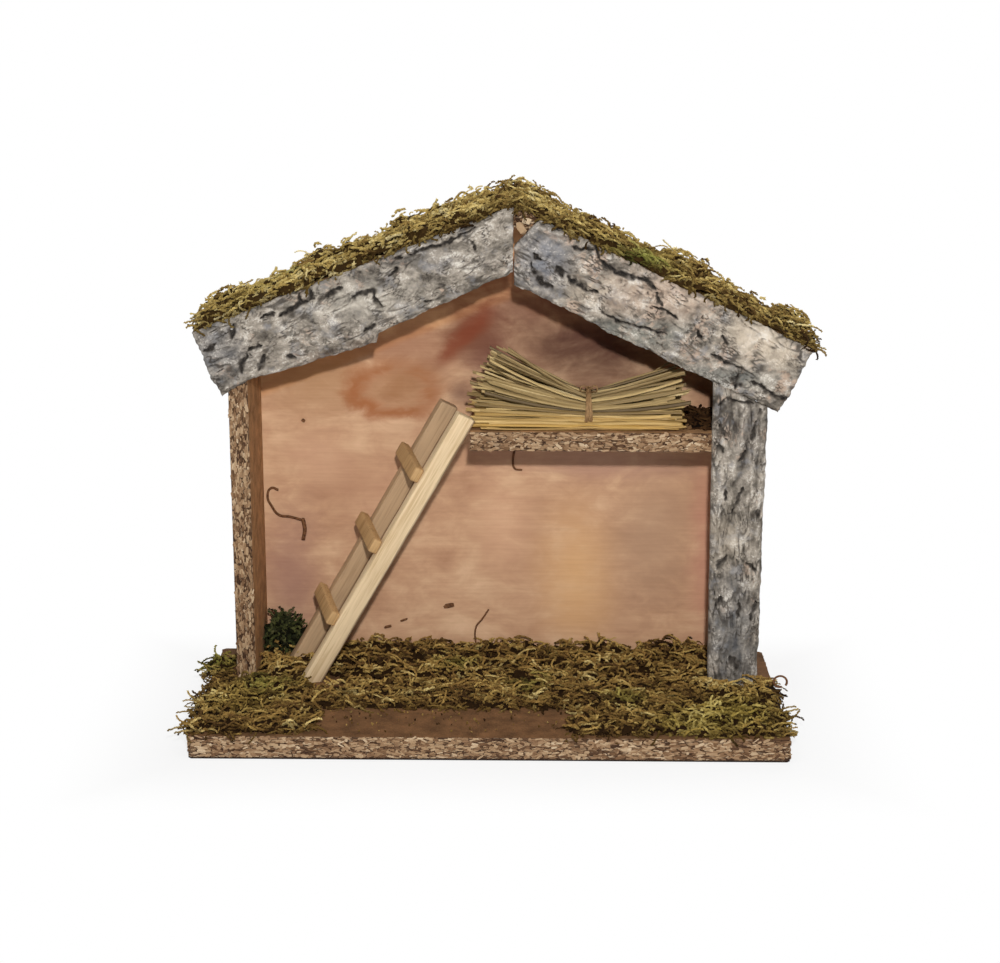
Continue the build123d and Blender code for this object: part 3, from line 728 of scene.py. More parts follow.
# %% Bark finish
def bark_finish(name, slant, warm, core, *stains):
    """Bark whose streaks run along x after a turn by slant about y. Warm is how much beige it has, core how
    black its cracks are, partly as painted shade, and a stain is an x, z, width, height, amount and colour."""
    bark = Finish(name, roughness=0.92, specular=0.15)
    streak = bark.cloud(1.8, detail=4.0, scale=(0.3, 1, 1), rotation=(0, slant, 0))
    band = bark.cloud(4.5, warp=0.6, scale=(0.35, 1, 1), rotation=(0, slant, 0))
    fine = bark.cloud(0.9)
    broad = bark.cloud(14.0, detail=4.0)
    other = bark.cloud(8.0, detail=4.0, location=(40, 10, 70))
    rise, crack, furrow = (bark.read(n) for n in ("rise", "crack", "furrow"))
    # Painted shade and highlight: the rise term makes raised lumps lighter and the hollows between them
    # darker.
    grey = bark.ramp(streak * 0.22 + band * 0.35 + fine * 0.15 + rise * 0.45 - 0.115, (0.28, (72, 66, 60)),
                     (0.42, (126, 118, 107)), (0.55, (168, 158, 145)), (0.74, (216, 208, 195)))
    grey = bark.blend(bark.ease(other, 0.5, 0.68) * 0.4, grey, (138, 140, 146))
    grey = bark.blend(bark.ease(broad + (streak - 0.5) * 0.5, 0.66 - warm, 0.8 - warm) * 0.55, grey,
                      (196, 168, 146))
    for x, z, width, height, amount, tint in stains:
        share = bark.stain(x, z, width, height, (broad - 0.5) * 1.2 + (other - 0.5) * 0.8)
        grey = bark.blend(share * amount, grey, bark.blend(0.5, grey, tint))
    # Pale flakes, more of them on raised lumps, where they also act as a painted highlight.
    grey = bark.blend(bark.ease(fine + (rise - 0.5) * 0.6, 0.6, 0.78) * 0.55, grey, (220, 213, 202))
    # Furrows and cracks are darkened, with a soft halo round each crack: partly the bark's own dark, partly
    # painted shade.
    dark = bark.ease(furrow + (streak - 0.5) * 0.5, 0.15, 0.9) * bark.ease(other + broad, 0.7, 1.1)
    grey = bark.blend(dark * 0.7 + furrow * 0.15, grey, (66, 60, 54))
    grey = bark.blend(bark.ease(crack, 0.02, 0.5) * 0.55, grey, (86, 78, 70))
    shaken = crack + (fine - 0.5) * 0.7 + (streak - 0.5) * 0.6
    deep = bark.ease(shaken, 0.2, 0.85) * bark.ease(crack, 0.05, 0.4)
    colour = bark.blend(deep * core, grey, bark.ramp(fine, (0.4, (34, 32, 31)), (0.75, (72, 65, 58))))
    return bark.coat(colour, fine * 0.5 + streak * 0.5, depth=0.7, strength=0.8)


print("bark finish ready")

# %% [markdown]
# ## The two fascias and the post
# The larger cracks were read off the photograph, laid flat against a ruler: s is the distance
# along the strip, from the ridge or the base, t the distance across it, and the first number is the
# crack's half width, all in millimetres. The right fascia has lost its upper corner at the ridge.

# %% Left fascia
def along_slope(side, pitch):
    """Turns s down the slope and t under the roof line into x and z."""
    c, d = math.cos(pitch), math.sin(pitch)
    return lambda s, t: (ridge_x + side * (c * s - d * t), ridge_z - d * s - c * t)


def plumb_end(pitch, t):
    """The s of an upright end that stays a quarter of a millimetre off the middle of the ridge."""
    return (0.25 + math.sin(pitch) * t) / math.cos(pitch)


def fascia_outline(side, pitch, length, end_s, seed, lower):
    """The strip from its end at the ridge, s given by t, to its square end at the eave, with ragged edges.
    Lower holds the s and t of the corners of its lower edge."""
    slope = along_slope(side, pitch)

    def outline(u, v):
        along = flat_points(u * length, v * 0, seed)
        t = v * np.interp(u * length, *zip(*lower))
        t = t + (2 * v - 1) * (0.7 * wander(along, 11.0) + 0.5 * wander(along, 3.0, 5.0))
        ends = flat_points(v * strip_width, u * 0, seed)
        start = end_s(pitch, t) + (1 - u) * 0.3 * wander(ends, 3.0)
        stop = length + 1.1 * wander(ends, 6.0, 2.0) + 0.6 * wander(ends, 2.0, 3.0)
        s = start + u * (stop - start)
        return s, t, *slope(s, t)
    return outline


left_cracks = (
    (0.8, (22, 3), (31, 4), (41, 5), (51, 3), (57, 4)), (1.0, (61, 3), (66, 3)), (0.9, (65, 8), (71, 9)),
    (1.2, (80, 22), (82, 18), (81, 14), (87, 12), (92, 13)),
    (1.2, (95, 6), (101, 7), (108, 8)), (1.1, (110, 6), (117, 6), (122, 7), (130, 8)),
    (0.8, (111, 1), (111, 6)), (0.8, (117, 1), (117, 6)), (0.9, (132, 6), (140, 6)),
    (1.6, (154, 4), (156, 9)), (1.0, (144, 19), (152, 18)), (1.1, (145, 24), (151, 30)),
    (1.2, (153, 20), (158, 24), (160, 28)), (1.1, (165, 9), (173, 11)), (0.8, (56, 29), (60, 28)),
    (0.6, (26, 8), (26, 14)), (0.7, (87, 30), (93, 31)), (1.0, (131, 31), (135, 28)))
left_long = 175
left_lower = ((0, 31), (20, 32), (80, 35), (82, 39), (135, 35), (158, 33), (left_long, 36))
left_outline = fascia_outline(-1, left_pitch, left_long, plumb_end, 2.0, left_lower)
left_bark = bark_finish(
    "left_grey_bark", -left_pitch, 0.06, 0.95, (-140, 190, 22, 24, 0.9, (96, 100, 108)),
    (-62, 196, 22, 9, 0.5, (112, 80, 58)), (-86, 188, 24, 9, 0.5, (112, 80, 58)),
    (-40, 240, 60, 8, 0.5, (120, 118, 116)), (-70, 220, 50, 16, 0.8, (206, 198, 184)))
left_strip = bark_strip(340, 72, left_outline, left_cracks, 3.0)
settle(left_strip, "left_bark", "bark", left_bark, "left_fascia_bark")

# %% Right fascia
right_cracks = (
    (1.4, (20, 22), (27, 27), (30, 29), (35, 28)), (1.2, (20, 17), (23, 18)), (1.9, (32, 17), (37, 21)),
    (1.6, (40, 20), (45, 21), (52, 22)), (0.8, (52, 22), (57, 20)), (0.8, (35, 6), (45, 3)),
    (0.8, (45, 0), (51, 5)), (1.1, (51, 5), (57, 7), (61, 8), (69, 6), (75, 5)), (1.4, (75, 4), (82, 6)),
    (1.2, (84, 8), (88, 12)), (0.5, (60, 27), (63, 29), (75, 29), (90, 26), (98, 25)),
    (0.6, (122, 24), (140, 24)), (2.2, (140, 28), (142, 34)),
    (1.2, (147, 28), (152, 27), (157, 29), (169, 28)),
    (0.7, (84, 15), (92, 14), (99, 15)), (0.9, (110, 16), (114, 19)), (0.8, (123, 13), (127, 16)))


def broken_end(pitch, t):
    """An upright end whose top is broken off on a slant, 14.9 mm along the upper edge."""
    return np.maximum(plumb_end(pitch, t), 14.9 - t * 0.324)


right_long = 168
right_lower = ((0, 36), (35, 35.5), (60, 37), (right_long, 36.5))
right_outline = fascia_outline(1, right_pitch, right_long, broken_end, 5.0, right_lower)
right_bark = bark_finish(
    "right_grey_bark", right_pitch, 0.14, 1.0, (26, 240, 24, 24, 0.9, (118, 124, 136)),
    (70, 202, 50, 12, 0.6, (128, 138, 132)), (118, 180, 40, 10, 0.6, (120, 132, 132)),
    (140, 202, 34, 24, 1.0, (240, 222, 198)), (90, 224, 50, 18, 0.9, (226, 198, 174)),
    (48, 226, 18, 16, 0.7, (222, 206, 184)))
right_strip = bark_strip(330, 72, right_outline, right_cracks, 8.0)
settle(right_strip, "right_bark", "bark", right_bark, "right_fascia_bark")

# %% Right post
post_cracks = (
    (1.7, (12, 18), (18, 14)), (1.2, (38, 24), (43, 25), (49, 27)), (1.0, (46, 6), (52, 8)),
    (1.4, (67, 6), (74, 10)), (1.1, (97, 13), (105, 15), (111, 18)), (1.0, (94, 26), (99, 26)),
    (0.8, (104, 9), (110, 9)), (1.1, (130, 7), (133, 4)), (0.8, (125, 15), (130, 18)),
    (1.2, (136, 21), (145, 23)), (1.5, (150, 26), (152, 25)), (0.8, (154, 4), (158, 7), (157, 12), (155, 22)),
    (0.8, (136, 9), (144, 5)), (0.7, (40, 17), (50, 18)), (0.8, (66, 27), (70, 21)))
post_left, post_width, fascia_width = reach("right_post_bark", "x")[0], 28.5, 36.6


def post_outline(u, v):
    """The post from the base up to the fascia's lower edge, with s up and t to the right."""
    along = flat_points(u * 160, v * 0, 4.0)
    sway = 0.8 * wander(along, 13.0) + 0.5 * wander(along, 4.0, 5.0)
    inset = 1.0 + 1.8 * (1 - u) + 0.3 * sway
    t = inset + v * (post_width - inset) + np.where(v > 0.5, (2 * v - 1) * (sway + 0.5), 0)
    x = post_left + t
    top = ridge_z - (x - ridge_x) * math.tan(right_pitch) - fascia_width / math.cos(right_pitch)
    s = u * (top - base_top)
    return s, t, x, base_top + s


post_bark = bark_finish(
    "post_grey_bark", math.pi / 2, 0.06, 0.85, (126, 45, 18, 46, 0.8, (100, 104, 110)),
    (132, 150, 14, 30, 0.6, (96, 92, 90)), (122, 95, 16, 22, 0.7, (190, 176, 156)),
    (134, 20, 10, 24, 0.6, (76, 76, 78)))
post_strip = bark_strip(320, 60, post_outline, post_cracks, 12.0)
settle(post_strip, "post_bark", "bark", post_bark, "right_post_bark")

# %% [markdown]
# ## Moss
# The moss is dried feather moss, glued on in matted handfuls. Hair particles would give thin threads, but
# the real strands are plaited from small leaves, so three are modelled: a stem with leaves pressed along
# it, rolled up to a curl. They are laid by the thousand on a lumpy underlay, which is dark as painted shade.

# %% Model three sprigs
def model_sprig(leaves, length, reach, spread, roll, seed):
    """A stem with pointed leaves all round, rolled up by an angle. Sizes are in millimetres, and spread is
    the range of the leaves' angles from the stem."""
    clear()
    rng = np.random.default_rng(seed)
    bpy.ops.mesh.primitive_cone_add(vertices=3, radius1=0.55 * MM, radius2=0.2 * MM, depth=length * MM,
                                    location=(0, 0, length / 2 * MM))
    bpy.ops.object.transform_apply(location=True)
    bpy.ops.object.mode_set(mode="EDIT")
    for cut in (0.33, 0.66):
        bpy.ops.mesh.select_all(action="SELECT")
        bpy.ops.mesh.bisect(plane_co=(0, 0, length * cut * MM), plane_no=(0, 0, 1))
    for i in range(leaves):
        share = (i + 0.4) / leaves
        around, tilt = 2.4 * i + rng.uniform(-0.4, 0.4), rng.uniform(*spread)
        way = Vector((math.sin(tilt) * math.cos(around), math.sin(tilt) * math.sin(around), math.cos(tilt)))
        size = reach * (1.1 - 0.35 * share)
        bpy.ops.mesh.primitive_cone_add(
            vertices=3, radius1=0.7 * MM, radius2=0, depth=size * MM,
            location=(Vector((0, 0, share * length)) + way * size / 2) * MM,
            rotation=way.to_track_quat("Z", "Y").to_euler())
    bpy.ops.object.mode_set(mode="OBJECT")
    points, triangles = shape_of(bpy.context.object)
    radius = length / roll
    inner, turn = radius - points[:, 0], points[:, 2] / radius
    return np.c_[radius - inner * np.cos(turn), points[:, 1], inner * np.sin(turn)], triangles


sprigs = [model_sprig(9, 7.5, 1.8, (0.3, 0.65), 1.9, 1), model_sprig(7, 3.0, 1.9, (0.5, 1.2), 0.5, 2),
          model_sprig(9, 10.5, 1.7, (0.25, 0.6), 1.3, 3)]
print("sprig triangles", [len(s[1]) for s in sprigs])

# %% [markdown]
# ## Moss colour
# Each sprig has its own tone, from brown through olive to straw yellow, and is darkened low in the mat as
# painted shade. Some places are fresher: a bright corner on the base, a green patch on the right slope.
# Those are numbers on the mesh too, so one recipe gives all the moss.

# %% Moss finish
def moss_finish(name, *tones):
    """Moss in five tones from dark to pale."""
    moss = Finish(name, roughness=0.95, specular=0.1)
    tone, tip, fresh, green = (moss.read(n) for n in ("tone", "tip", "fresh", "green"))
    grain = moss.cloud(0.9, detail=2.0)
    body = moss.ramp(tone * 0.95 + (grain - 0.5) * 0.3,
                     *((i / 4 * 0.9 + 0.03, t) for i, t in enumerate(tones)))
    yellow = moss.ramp(tone, (0.05, (80, 68, 28)), (0.5, (152, 134, 62)), (0.95, (208, 192, 116)))
    body = moss.blend(moss.ease(fresh, 0.0, 0.6), body, yellow)
    body = moss.blend(green, body, moss.ramp(tone, (0.1, (58, 68, 26)), (0.9, (152, 162, 72))))
    # Painted shade: the lower a point sits in the mat, the darker its colour.
    shade = moss.ease(tip + (grain - 0.5) * 0.3, 0.08, 0.85)
    return moss.coat(moss.blend(shade, moss.blend(1.0, body, (0.2, 0.17, 0.13, 1), "MULTIPLY"), body),
                     grain, depth=0.3, strength=0.5)


floor_moss = moss_finish("floor_moss", (58, 39, 22), (104, 77, 42), (150, 118, 64), (180, 150, 86),
                         (214, 192, 130))
roof_moss = moss_finish("roof_moss", (82, 58, 30), (142, 116, 64), (184, 158, 92), (210, 188, 122),
                        (234, 218, 166))
dark_moss = moss_finish("dark_moss", (18, 16, 10), (28, 28, 18), (40, 42, 26), (54, 56, 34), (80, 78, 50))
print("moss finishes ready")

# %% [markdown]
# ## Laying moss
# A mat is laid in flat coordinates, a and b, on a ground that turns them into places: the base, a roof
# slope or the bent ridge. Its outline is a box with a ragged edge. The underlay is a grid that swells
# into clumps, loses the faces outside the ragged edge, and gets a little thickness from Solidify.

# %% Grounds for the moss
def on_level(height):
    """Level ground at a height."""
    return lambda a, b: (np.c_[a, b, np.full_like(a, height)], np.tile((0.0, 0.0, 1.0), (len(a), 1)))


def on_slope(side, pitch):
    """A roof slope, with a down from the ridge."""
    slope = along_slope(side, pitch)

    def ground(a, b):
        x, z = slope(a, np.zeros_like(a))
        return np.c_[x, b, z], np.tile(roof_normal(side, pitch), (len(a), 1))
    return ground


left_slope, right_slope = on_slope(-1, left_pitch), on_slope(1, right_pitch)


def over_ridge(a, b):
    """The ridge, with a from the left slope over to the right."""
    left, right = left_slope(-a, b), right_slope(a, b)
    bend = np.clip(a / 16 + 0.5, 0, 1)[:, None]
    return np.where(a[:, None] < 0, left[0], right[0]), unit(left[1] * (1 - bend) + right[1] * bend)


def above_ground(points):
    """How far points are over the base, or higher up over the roof."""
    slopes = [(points - (ridge_x, 0, ridge_z)) @ np.array(roof_normal(side, pitch))
              for side, pitch in ((-1, left_pitch), (1, right_pitch))]
    return np.where(points[:, 2] < 100, points[:, 2] - base_top, np.maximum(*slopes))


def swell(a, b, box, height, ragged, seed):
    """The underlay's height at each place, 0 outside the ragged outline."""
    a0, a1, b0, b1 = box
    flat = flat_points(a, b, seed)
    inside = np.minimum.reduce([a - a0, a1 - a, b - b0, b1 - b])
    inside = inside + ragged * (wander(flat, 11.0) + 0.6 * wander(flat, 4.0, 3.0))
    clumps = 0.65 + 0.75 * wander(flat, 12.0, 1.5) + 0.55 * wander(flat, 5.0, 2.5)
    return height * np.clip(inside / 5, 0, 1) * np.clip(clumps, 0.12, 1.35)


print("moss grounds ready")


# %% Lay one mat
def spot_share(places, spots):
    """How strongly each place lies in some round spots, each an x, y, z, a reach and an amount."""
    total = np.zeros(len(places))
    for x, y, z, reach, amount in spots:
        gap = np.linalg.norm(places - (x, y, z), axis=1) / reach
        total += amount * np.exp(-gap * gap)
    return total


def underlay(ground, box, rise_of, bare):
    """The lumpy sheet under a mat, dark as painted shade between the sprigs, without the faces that lie
    outside its outline or in bare spots.
    """
    a0, a1, b0, b1 = box
    under, u, v = grid(round((a1 - a0) / 2), round((b1 - b0) / 2))
    a, b = a0 + u * (a1 - a0), b0 + v * (b1 - b0)
    places, ways = ground(a, b)
    rise = rise_of(a, b) * np.clip(1.6 - 2 * spot_share(places, bare), 0, 1)
    move_points(under, places + ways * (rise * 0.7 - 0.4)[:, None])
    select_faces(under, lambda polygon: min(rise[i] for i in polygon.vertices) < 0.3)
    bpy.ops.mesh.delete(type="FACE")
    bpy.ops.object.mode_set(mode="OBJECT")
    thicken(under, 0.8 * MM)
    # Painted shade: a low tip makes the whole underlay dark.
    tag_points(under, tone=0.15, tip=0.1, fresh=0.0, green=0.0)
    return under


def sprig_turns(ways, rng):
    """Lays sprigs over the ground, each with its own direction, curl and size. A few stray ones stand up."""
    count = len(ways)
    side = unit(np.cross(ways, rng.normal(size=(count, 3))))
    stand = np.where(rng.uniform(size=count) < 0.03, 1.3, rng.uniform(-0.1, 0.55, count))[:, None]
    tip_way = unit(side + ways * stand)
    lateral = np.cross(ways, tip_way) * rng.choice((-1, 1), count)[:, None]
    curl = lateral - ways * rng.uniform(-0.2, 1.6, count)[:, None]
    curl = unit(curl - tip_way * np.sum(curl * tip_way, axis=1)[:, None])
    scale = 0.9 * rng.uniform(0.65, 1.25, count)
    return np.stack([curl, np.cross(tip_way, curl), tip_way], axis=2) * scale[:, None, None]


def moss_mat(ground, box, height, count, seed, ragged=3.5, fresh=(), green=(), bare=(), mounds=(), shift=0.0,
             low=-math.inf, high=math.inf):
    """An underlay with sprigs on it, as one piece. Nothing grows within the bare spots, mounds are spots that
    rise higher, shift makes it paler, and low and high are walls that no sprig passes, as x, y and z."""
    rng = np.random.default_rng(seed)

    def rise_of(a, b):
        rise = swell(a, b, box, height, ragged, seed)
        return rise + np.where(rise > 0, spot_share(ground(a, b)[0], mounds), 0)

    a0, a1, b0, b1 = box
    a, b = rng.uniform(a0 - 2, a1 + 2, count * 3), rng.uniform(b0 - 2, b1 + 2, count * 3)
    kept = np.flatnonzero((rise_of(a, b) > 0.25) & (spot_share(ground(a, b)[0], bare) < 0.5))[:count]
    rise = rise_of(a[kept], b[kept])
    roots, ways = ground(a[kept], b[kept])
    roots = roots + ways * (rise * rng.uniform(0.5, 1.0, len(kept)) - 0.3)[:, None]
    turns = sprig_turns(ways, rng)
    piece, owner, _ = lay(sprigs, rng.choice(3, len(kept), p=(0.5, 0.25, 0.25)), turns, roots)
    move_points(piece, np.clip(points_of(piece), low, high))
    drift = 0.5 + 0.8 * wander(roots, 13.0, seed) + 0.5 * wander(roots, 5.0, seed)
    tone = np.clip(0.5 * drift + 0.5 * rng.uniform(size=len(kept)) + shift, 0, 1)
    # Tip is how high a point sits in the mat, which sets its painted shade.
    over = above_ground(points_of(piece)) - 0.5 * rise[owner]
    tag_points(piece, tone=tone[owner], tip=np.clip((over + 0.25 * height) / (0.75 * height + 1.2), 0, 1),
               fresh=spot_share(roots, fresh)[owner], green=np.clip(spot_share(roots, green), 0, 1)[owner])
    return joined(piece, underlay(ground, box, rise_of, bare))


print("moss helpers ready")

# %% Moss on the base
on_base, wall_gap = on_level(base_top), 0.3
bright_corner = (
    (128, -38, 14, 28, 0.42), (95, -55, 14, 20, 0.3), (-128, -25, 14, 26, 0.25), (-75, 20, 14, 20, -0.3),
    (0, 45, 14, 40, -0.25), (-30, -8, 14, 25, -0.25))
ladder_foot_clear = ((-89, 4, 12, 12, 1.0), (-84, 10, 12, 9, 1.0))
shed_low = (shed_left + wall_gap, 0, base_top)
shed_high = (shed_right - wall_gap, panel_front - wall_gap, 40)
for name, node, box, height, count, seed, green, limits in (
        ("left_corner", "front_left", (-152, -88, -61, 13), 7.8, 1450, 21, (-118, 0, 14, 14, 0.6), {}),
        ("right_corner", "front_right", (40, 152, -62, 13), 7.5, 2500, 22, (70, -20, 14, 10, 0.5), {}),
        ("middle", "front_middle", (-100, 48, -27, 14), 6.8, 1850, 23, (20, 5, 14, 9, 0.5), {}),
        ("floor", "shed_floor", (shed_left, shed_right, 9, 65), 9.0, 3350, 24, (-20, 30, 14, 10, 0.5),
         {"low": shed_low, "high": shed_high})):
    mat = moss_mat(on_base, box, height, count, seed, fresh=bright_corner, green=[green],
                   bare=ladder_foot_clear, **limits)
    settle(mat, "moss_" + name, "moss", floor_moss, "moss_" + node)
side_mat = moss_mat(on_base, (-154, -140, 16, 42), 7.0, 130, 28, ragged=2.5, green=[(-150, 32, 14, 9, 0.8)],
                    high=(wall_left - wall_gap, 60, 40))
settle(side_mat, "moss_left_side", "moss", floor_moss)

# %% Moss on the roof
roof_fresh = (
    (-120, 30, 215, 25, 0.25), (90, 30, 235, 20, 0.25), (-60, 30, 240, 20, -0.2), (140, 30, 215, 18, -0.25))
fresh_green = ((72, 8, 243, 11, 0.95), (84, 20, 240, 8, 0.7), (-100, 40, 225, 9, 0.5))
left_mounds = ((-91, 58, 226, 12, 4), (-46, 58, 244, 12, 4), (-26, 56, 252, 9, 4), (-126, 58, 212, 10, 3))
right_mounds = ((100, 56, 224, 13, 5), (156, 48, 198, 12, 4))
ridge_mounds = ((0, 52, 264, 14, 2),)
for name, node, ground, box, height, count, seed, shift, mounds in (
        ("left_slope", "roof_left", left_slope, (24, 175, 8, 66), 8.4, 3000, 25, 0.09, left_mounds),
        ("right_slope", "roof_right", right_slope, (24, 170, 8, 66), 7.6, 2900, 26, -0.12, right_mounds),
        ("ridge_cap", "ridge", over_ridge, (-38, 38, 6, 66), 8.2, 1750, 27, -0.05, ridge_mounds)):
    mat = moss_mat(ground, box, height, count, seed, fresh=roof_fresh, green=fresh_green, shift=shift,
                   mounds=mounds)
    settle(mat, "moss_" + name, "moss", roof_moss, "moss_" + node)

# %% [markdown]
# ## Corner tuft
# In the left rear corner stands a taller, much darker tuft. It is the same moss standing upright: the
# sprigs start on a small cone and point up and outwards.

# %% Lay the tuft
rng = np.random.default_rng(31)
tuft_count, tuft_x, tuft_y, tuft_reach, tuft_height = 420, -115.5, 52, 10.5, 19
around, share = rng.uniform(0, 2 * math.pi, tuft_count), rng.uniform(0, 1, tuft_count)
c, s = np.cos(around), np.sin(around)
out = tuft_reach * (1 - share) ** 0.7 * rng.uniform(0.3, 1, tuft_count)
spots = np.c_[tuft_x + out * c, tuft_y + out * s, base_top + share * tuft_height]
way = unit(np.c_[0.7 * c, 0.7 * s, np.full(tuft_count, 0.9)] + rng.normal(0, 0.3, (tuft_count, 3)))
cross = unit(np.cross(way, rng.normal(size=(tuft_count, 3))))
scale = rng.uniform(0.8, 1.4, tuft_count)
turns = np.stack([cross, np.cross(way, cross), way], axis=2) * scale[:, None, None]
tuft, owner, tip = lay(sprigs, rng.integers(0, 3, tuft_count), turns, spots)
move_points(tuft, np.clip(points_of(tuft), shed_low, (0, panel_front - wall_gap, 60)))
tone, green = rng.uniform(0, 1, tuft_count), 0.12 * rng.uniform(size=tuft_count)
tag_points(tuft, tone=tone[owner], fresh=0.0, green=green[owner], tip=tip)
settle(tuft, "dark_tuft", "moss_dark", dark_moss, "moss_corner_tuft")

# %% [markdown]
# ## Ladder
# Two pale softwood rails, the rear one darkened as painted shade, and three darker rungs laid over them.
# The ladder leans against the loft's end and is twisted, so its bars are shaped upright at their size and
# then turned into the ladder's own directions: v along the rungs, w out of the climbing face and u up the
# rails.

# %% Ladder wood
ladder_foot = np.array((-90.0, wall_front + 1, base_top))
ladder_run, ladder_rise, twist = 78.8, loft_top - base_top, math.radians(18)
ladder_length = math.hypot(ladder_run, ladder_rise)
ladder_up = np.array((ladder_run, 0.0, ladder_rise)) / ladder_length
rung_way = np.array((-ladder_up[2] * math.sin(twist), math.cos(twist), ladder_up[0] * math.sin(twist)))
ladder_out = np.cross(ladder_up, rung_way)
grain_turn = Matrix((rung_way, ladder_out, ladder_up)).to_euler()


def softwood(name, pale, line, edge_shadow_share):
    """Wood with grain up the ladder. The last argument is how strongly the edge that hangs down is darkened
    as a painted shadow.
    """
    wood = Finish(name, roughness=0.7, specular=0.25)
    rings = wood.cloud(1.0, warp=0.3, scale=(1, 1, 0.04), rotation=grain_turn)
    wide = wood.cloud(5.0, detail=2.0, scale=(1, 1, 0.12), rotation=grain_turn)
    colour = wood.ramp(rings * 0.65 + wide * 0.35, (0.3, line), (0.5, pale), (0.72, scaled(pale, 1.14)))
    speck = wood.ease(wood.cloud(0.9, scale=(1, 1, 0.3), rotation=grain_turn), 0.68, 0.74)
    colour = wood.blend(speck * 0.5, colour, line)
    at = wood.axes()
    out = sum(((at[i] - float(ladder_foot[i])) * float(ladder_out[i]) for i in range(3)), start=0.0)
    # Painted shadow: a dark brown margin along the edge that hangs down, standing in for the rail's thin
    # shadow.
    painted_edge_shadow = 1 - wood.ease(out + (rings - 0.5) * 1.5, 0.2, 1.6)
    colour = wood.blend(painted_edge_shadow * edge_shadow_share, colour, (84, 56, 36))
    return wood.coat(colour, rings, depth=0.25, strength=0.4)


rail_wood = softwood("pale_softwood", (216, 191, 153), (186, 155, 112), 0.8)
# Painted shade: the rear rail gets a darker copy of the rail wood, as if in the front rail's shade.
shaded_rear_wood = softwood("shaded_rail_softwood", (178, 148, 114), (150, 120, 88), 0.8)
rung_wood = softwood("tan_softwood", (182, 146, 100), (140, 104, 64), 0.5)
print("ladder length", round(ladder_length, 1))


# %% Ladder bars
def ladder_bar(low, high, soften, seed, level_foot=False):
    """A bar from a cube with its edges bevelled and its length divided, so that it can be a little uneven.
    Low and high are its corners as v, w and u."""
    low, high = np.array(low), np.array(high)
    clear()
    bpy.ops.mesh.primitive_cube_add(size=1 * MM)
    bpy.ops.object.mode_set(mode="EDIT")
    bpy.ops.transform.resize(value=high - low)
    bpy.ops.mesh.bevel(offset=soften * MM, segments=3, affect="EDGES")
    bar = bpy.context.object
    split_along(bar, int(np.argmax(high - low)), 24)
    points = points_of(bar) + (low + high) / 2
    points += 0.22 * np.c_[wander(points, 12.0, seed), wander(points, 12.0, seed + 3), np.zeros(len(points))]
    if level_foot:
        share = (points[:, 2] - low[2]) / (high[2] - low[2])
        level = -(points[:, 0] * rung_way[2] + points[:, 1] * ladder_out[2]) / ladder_up[2]
        points[:, 2] = level + share * (high[2] - level)
    move_points(bar, ladder_foot + points @ np.array([rung_way, ladder_out, ladder_up]))
    return outward(bar, smooth=40)


rail_thick, rail_deep, rung_long, rung_deep, rung_half = 5.5, 10, 36.5, 5, 3.9
for name, start, length, wood, seed in (("front_rail", 0, ladder_length + 6, rail_wood, 1.0),
                                        ("rear_rail", 28, 160.5, shaded_rear_wood, 2.0)):
    bar = ladder_bar((start, 0, 0), (start + rail_thick, rail_deep, length), 0.5, seed, True)
    settle(bar, name, "ladder_wood", wood, "ladder_" + name)
for name, share in (("lower_rung", 0.22), ("middle_rung", 0.51), ("upper_rung", 0.79)):
    middle = share * ladder_length
    bar = ladder_bar((1, rail_deep, middle - rung_half),
                     (1 + rung_long, rail_deep + rung_deep, middle + rung_half), 1.0, middle)
    settle(bar, name, "rung_wood", rung_wood, "ladder_" + name)

# %% [markdown]
# ## Straw
# The sheaf is a bundle of dry straws with a tie round its waist. A straw is a six-sided tube with a
# hollow at both ends, divided along its length so that it can bend, and copied with its own bend, width
# and tone. The straws spread from the waist, so hardly any cross.

# %% Model a straw
clear()
bpy.ops.mesh.primitive_cylinder_add(vertices=6, radius=1 * MM, depth=2 * MM)
straw = bpy.context.object
select_faces(straw, lambda polygon: abs(polygon.normal.z) > 0.9)
bpy.ops.mesh.inset(thickness=0.3 * MM)
bpy.ops.transform.resize(value=(1, 1, 0.97))
split_along(straw, 2, 7)
straw_points, straw_faces = shape_of(straw)
print("straw triangles", len(straw_faces))

# %% Straw finish
hay = Finish("dry_straw", roughness=0.6, specular=0.3)
stripes = hay.cloud(0.8, detail=2.0, scale=(0.04, 1.6, 1.6))
blotch = hay.cloud(5.0, detail=2.0, scale=(0.3, 1, 1))
straw_colour = hay.ramp(
    hay.read("tone") * 0.7 + stripes * 0.2 + blotch * 0.2 - 0.05, (0.08, (58, 44, 26)), (0.3, (108, 88, 54)),
    (0.52, (154, 130, 86)), (0.76, (190, 164, 112)), (0.96, (220, 204, 160)))
straw_colour = hay.blend(hay.read("gold") * 0.8, straw_colour, (204, 162, 84))
# Painted shade: the hollow at each straw's end is darkened.
straw_colour = hay.blend(hay.read("hollow"), straw_colour, (70, 54, 28))
straw_material = hay.coat(straw_colour, stripes, depth=0.2, strength=0.4)
print("straw finish", straw_material.name)

# %% Places of the straws
straw_count, loose_count = 175, 18
waist_x, waist_y, waist_z = 50.0, 27.5, 159.6
rng = np.random.default_rng(41)
y_share, z_share = rng.uniform(-1, 1, straw_count), rng.uniform(-1, 1, straw_count)
thick = rng.uniform(0.5, 1.1, straw_count)
lowest = loft_top + 0.1 + thick
lift = (z_share / 2 + 0.5) ** 1.25
lift[:loose_count] = 0.05
waist = np.c_[np.full(straw_count, waist_x), waist_y + y_share * np.sqrt(1 - z_share ** 2 / 2) * 11.8,
              waist_z + z_share * np.sqrt(1 - y_share ** 2 / 2) * 8.0]
waist[:loose_count, 1:] = np.c_[rng.uniform(13, 20, loose_count), rng.uniform(151, 154, loose_count)]


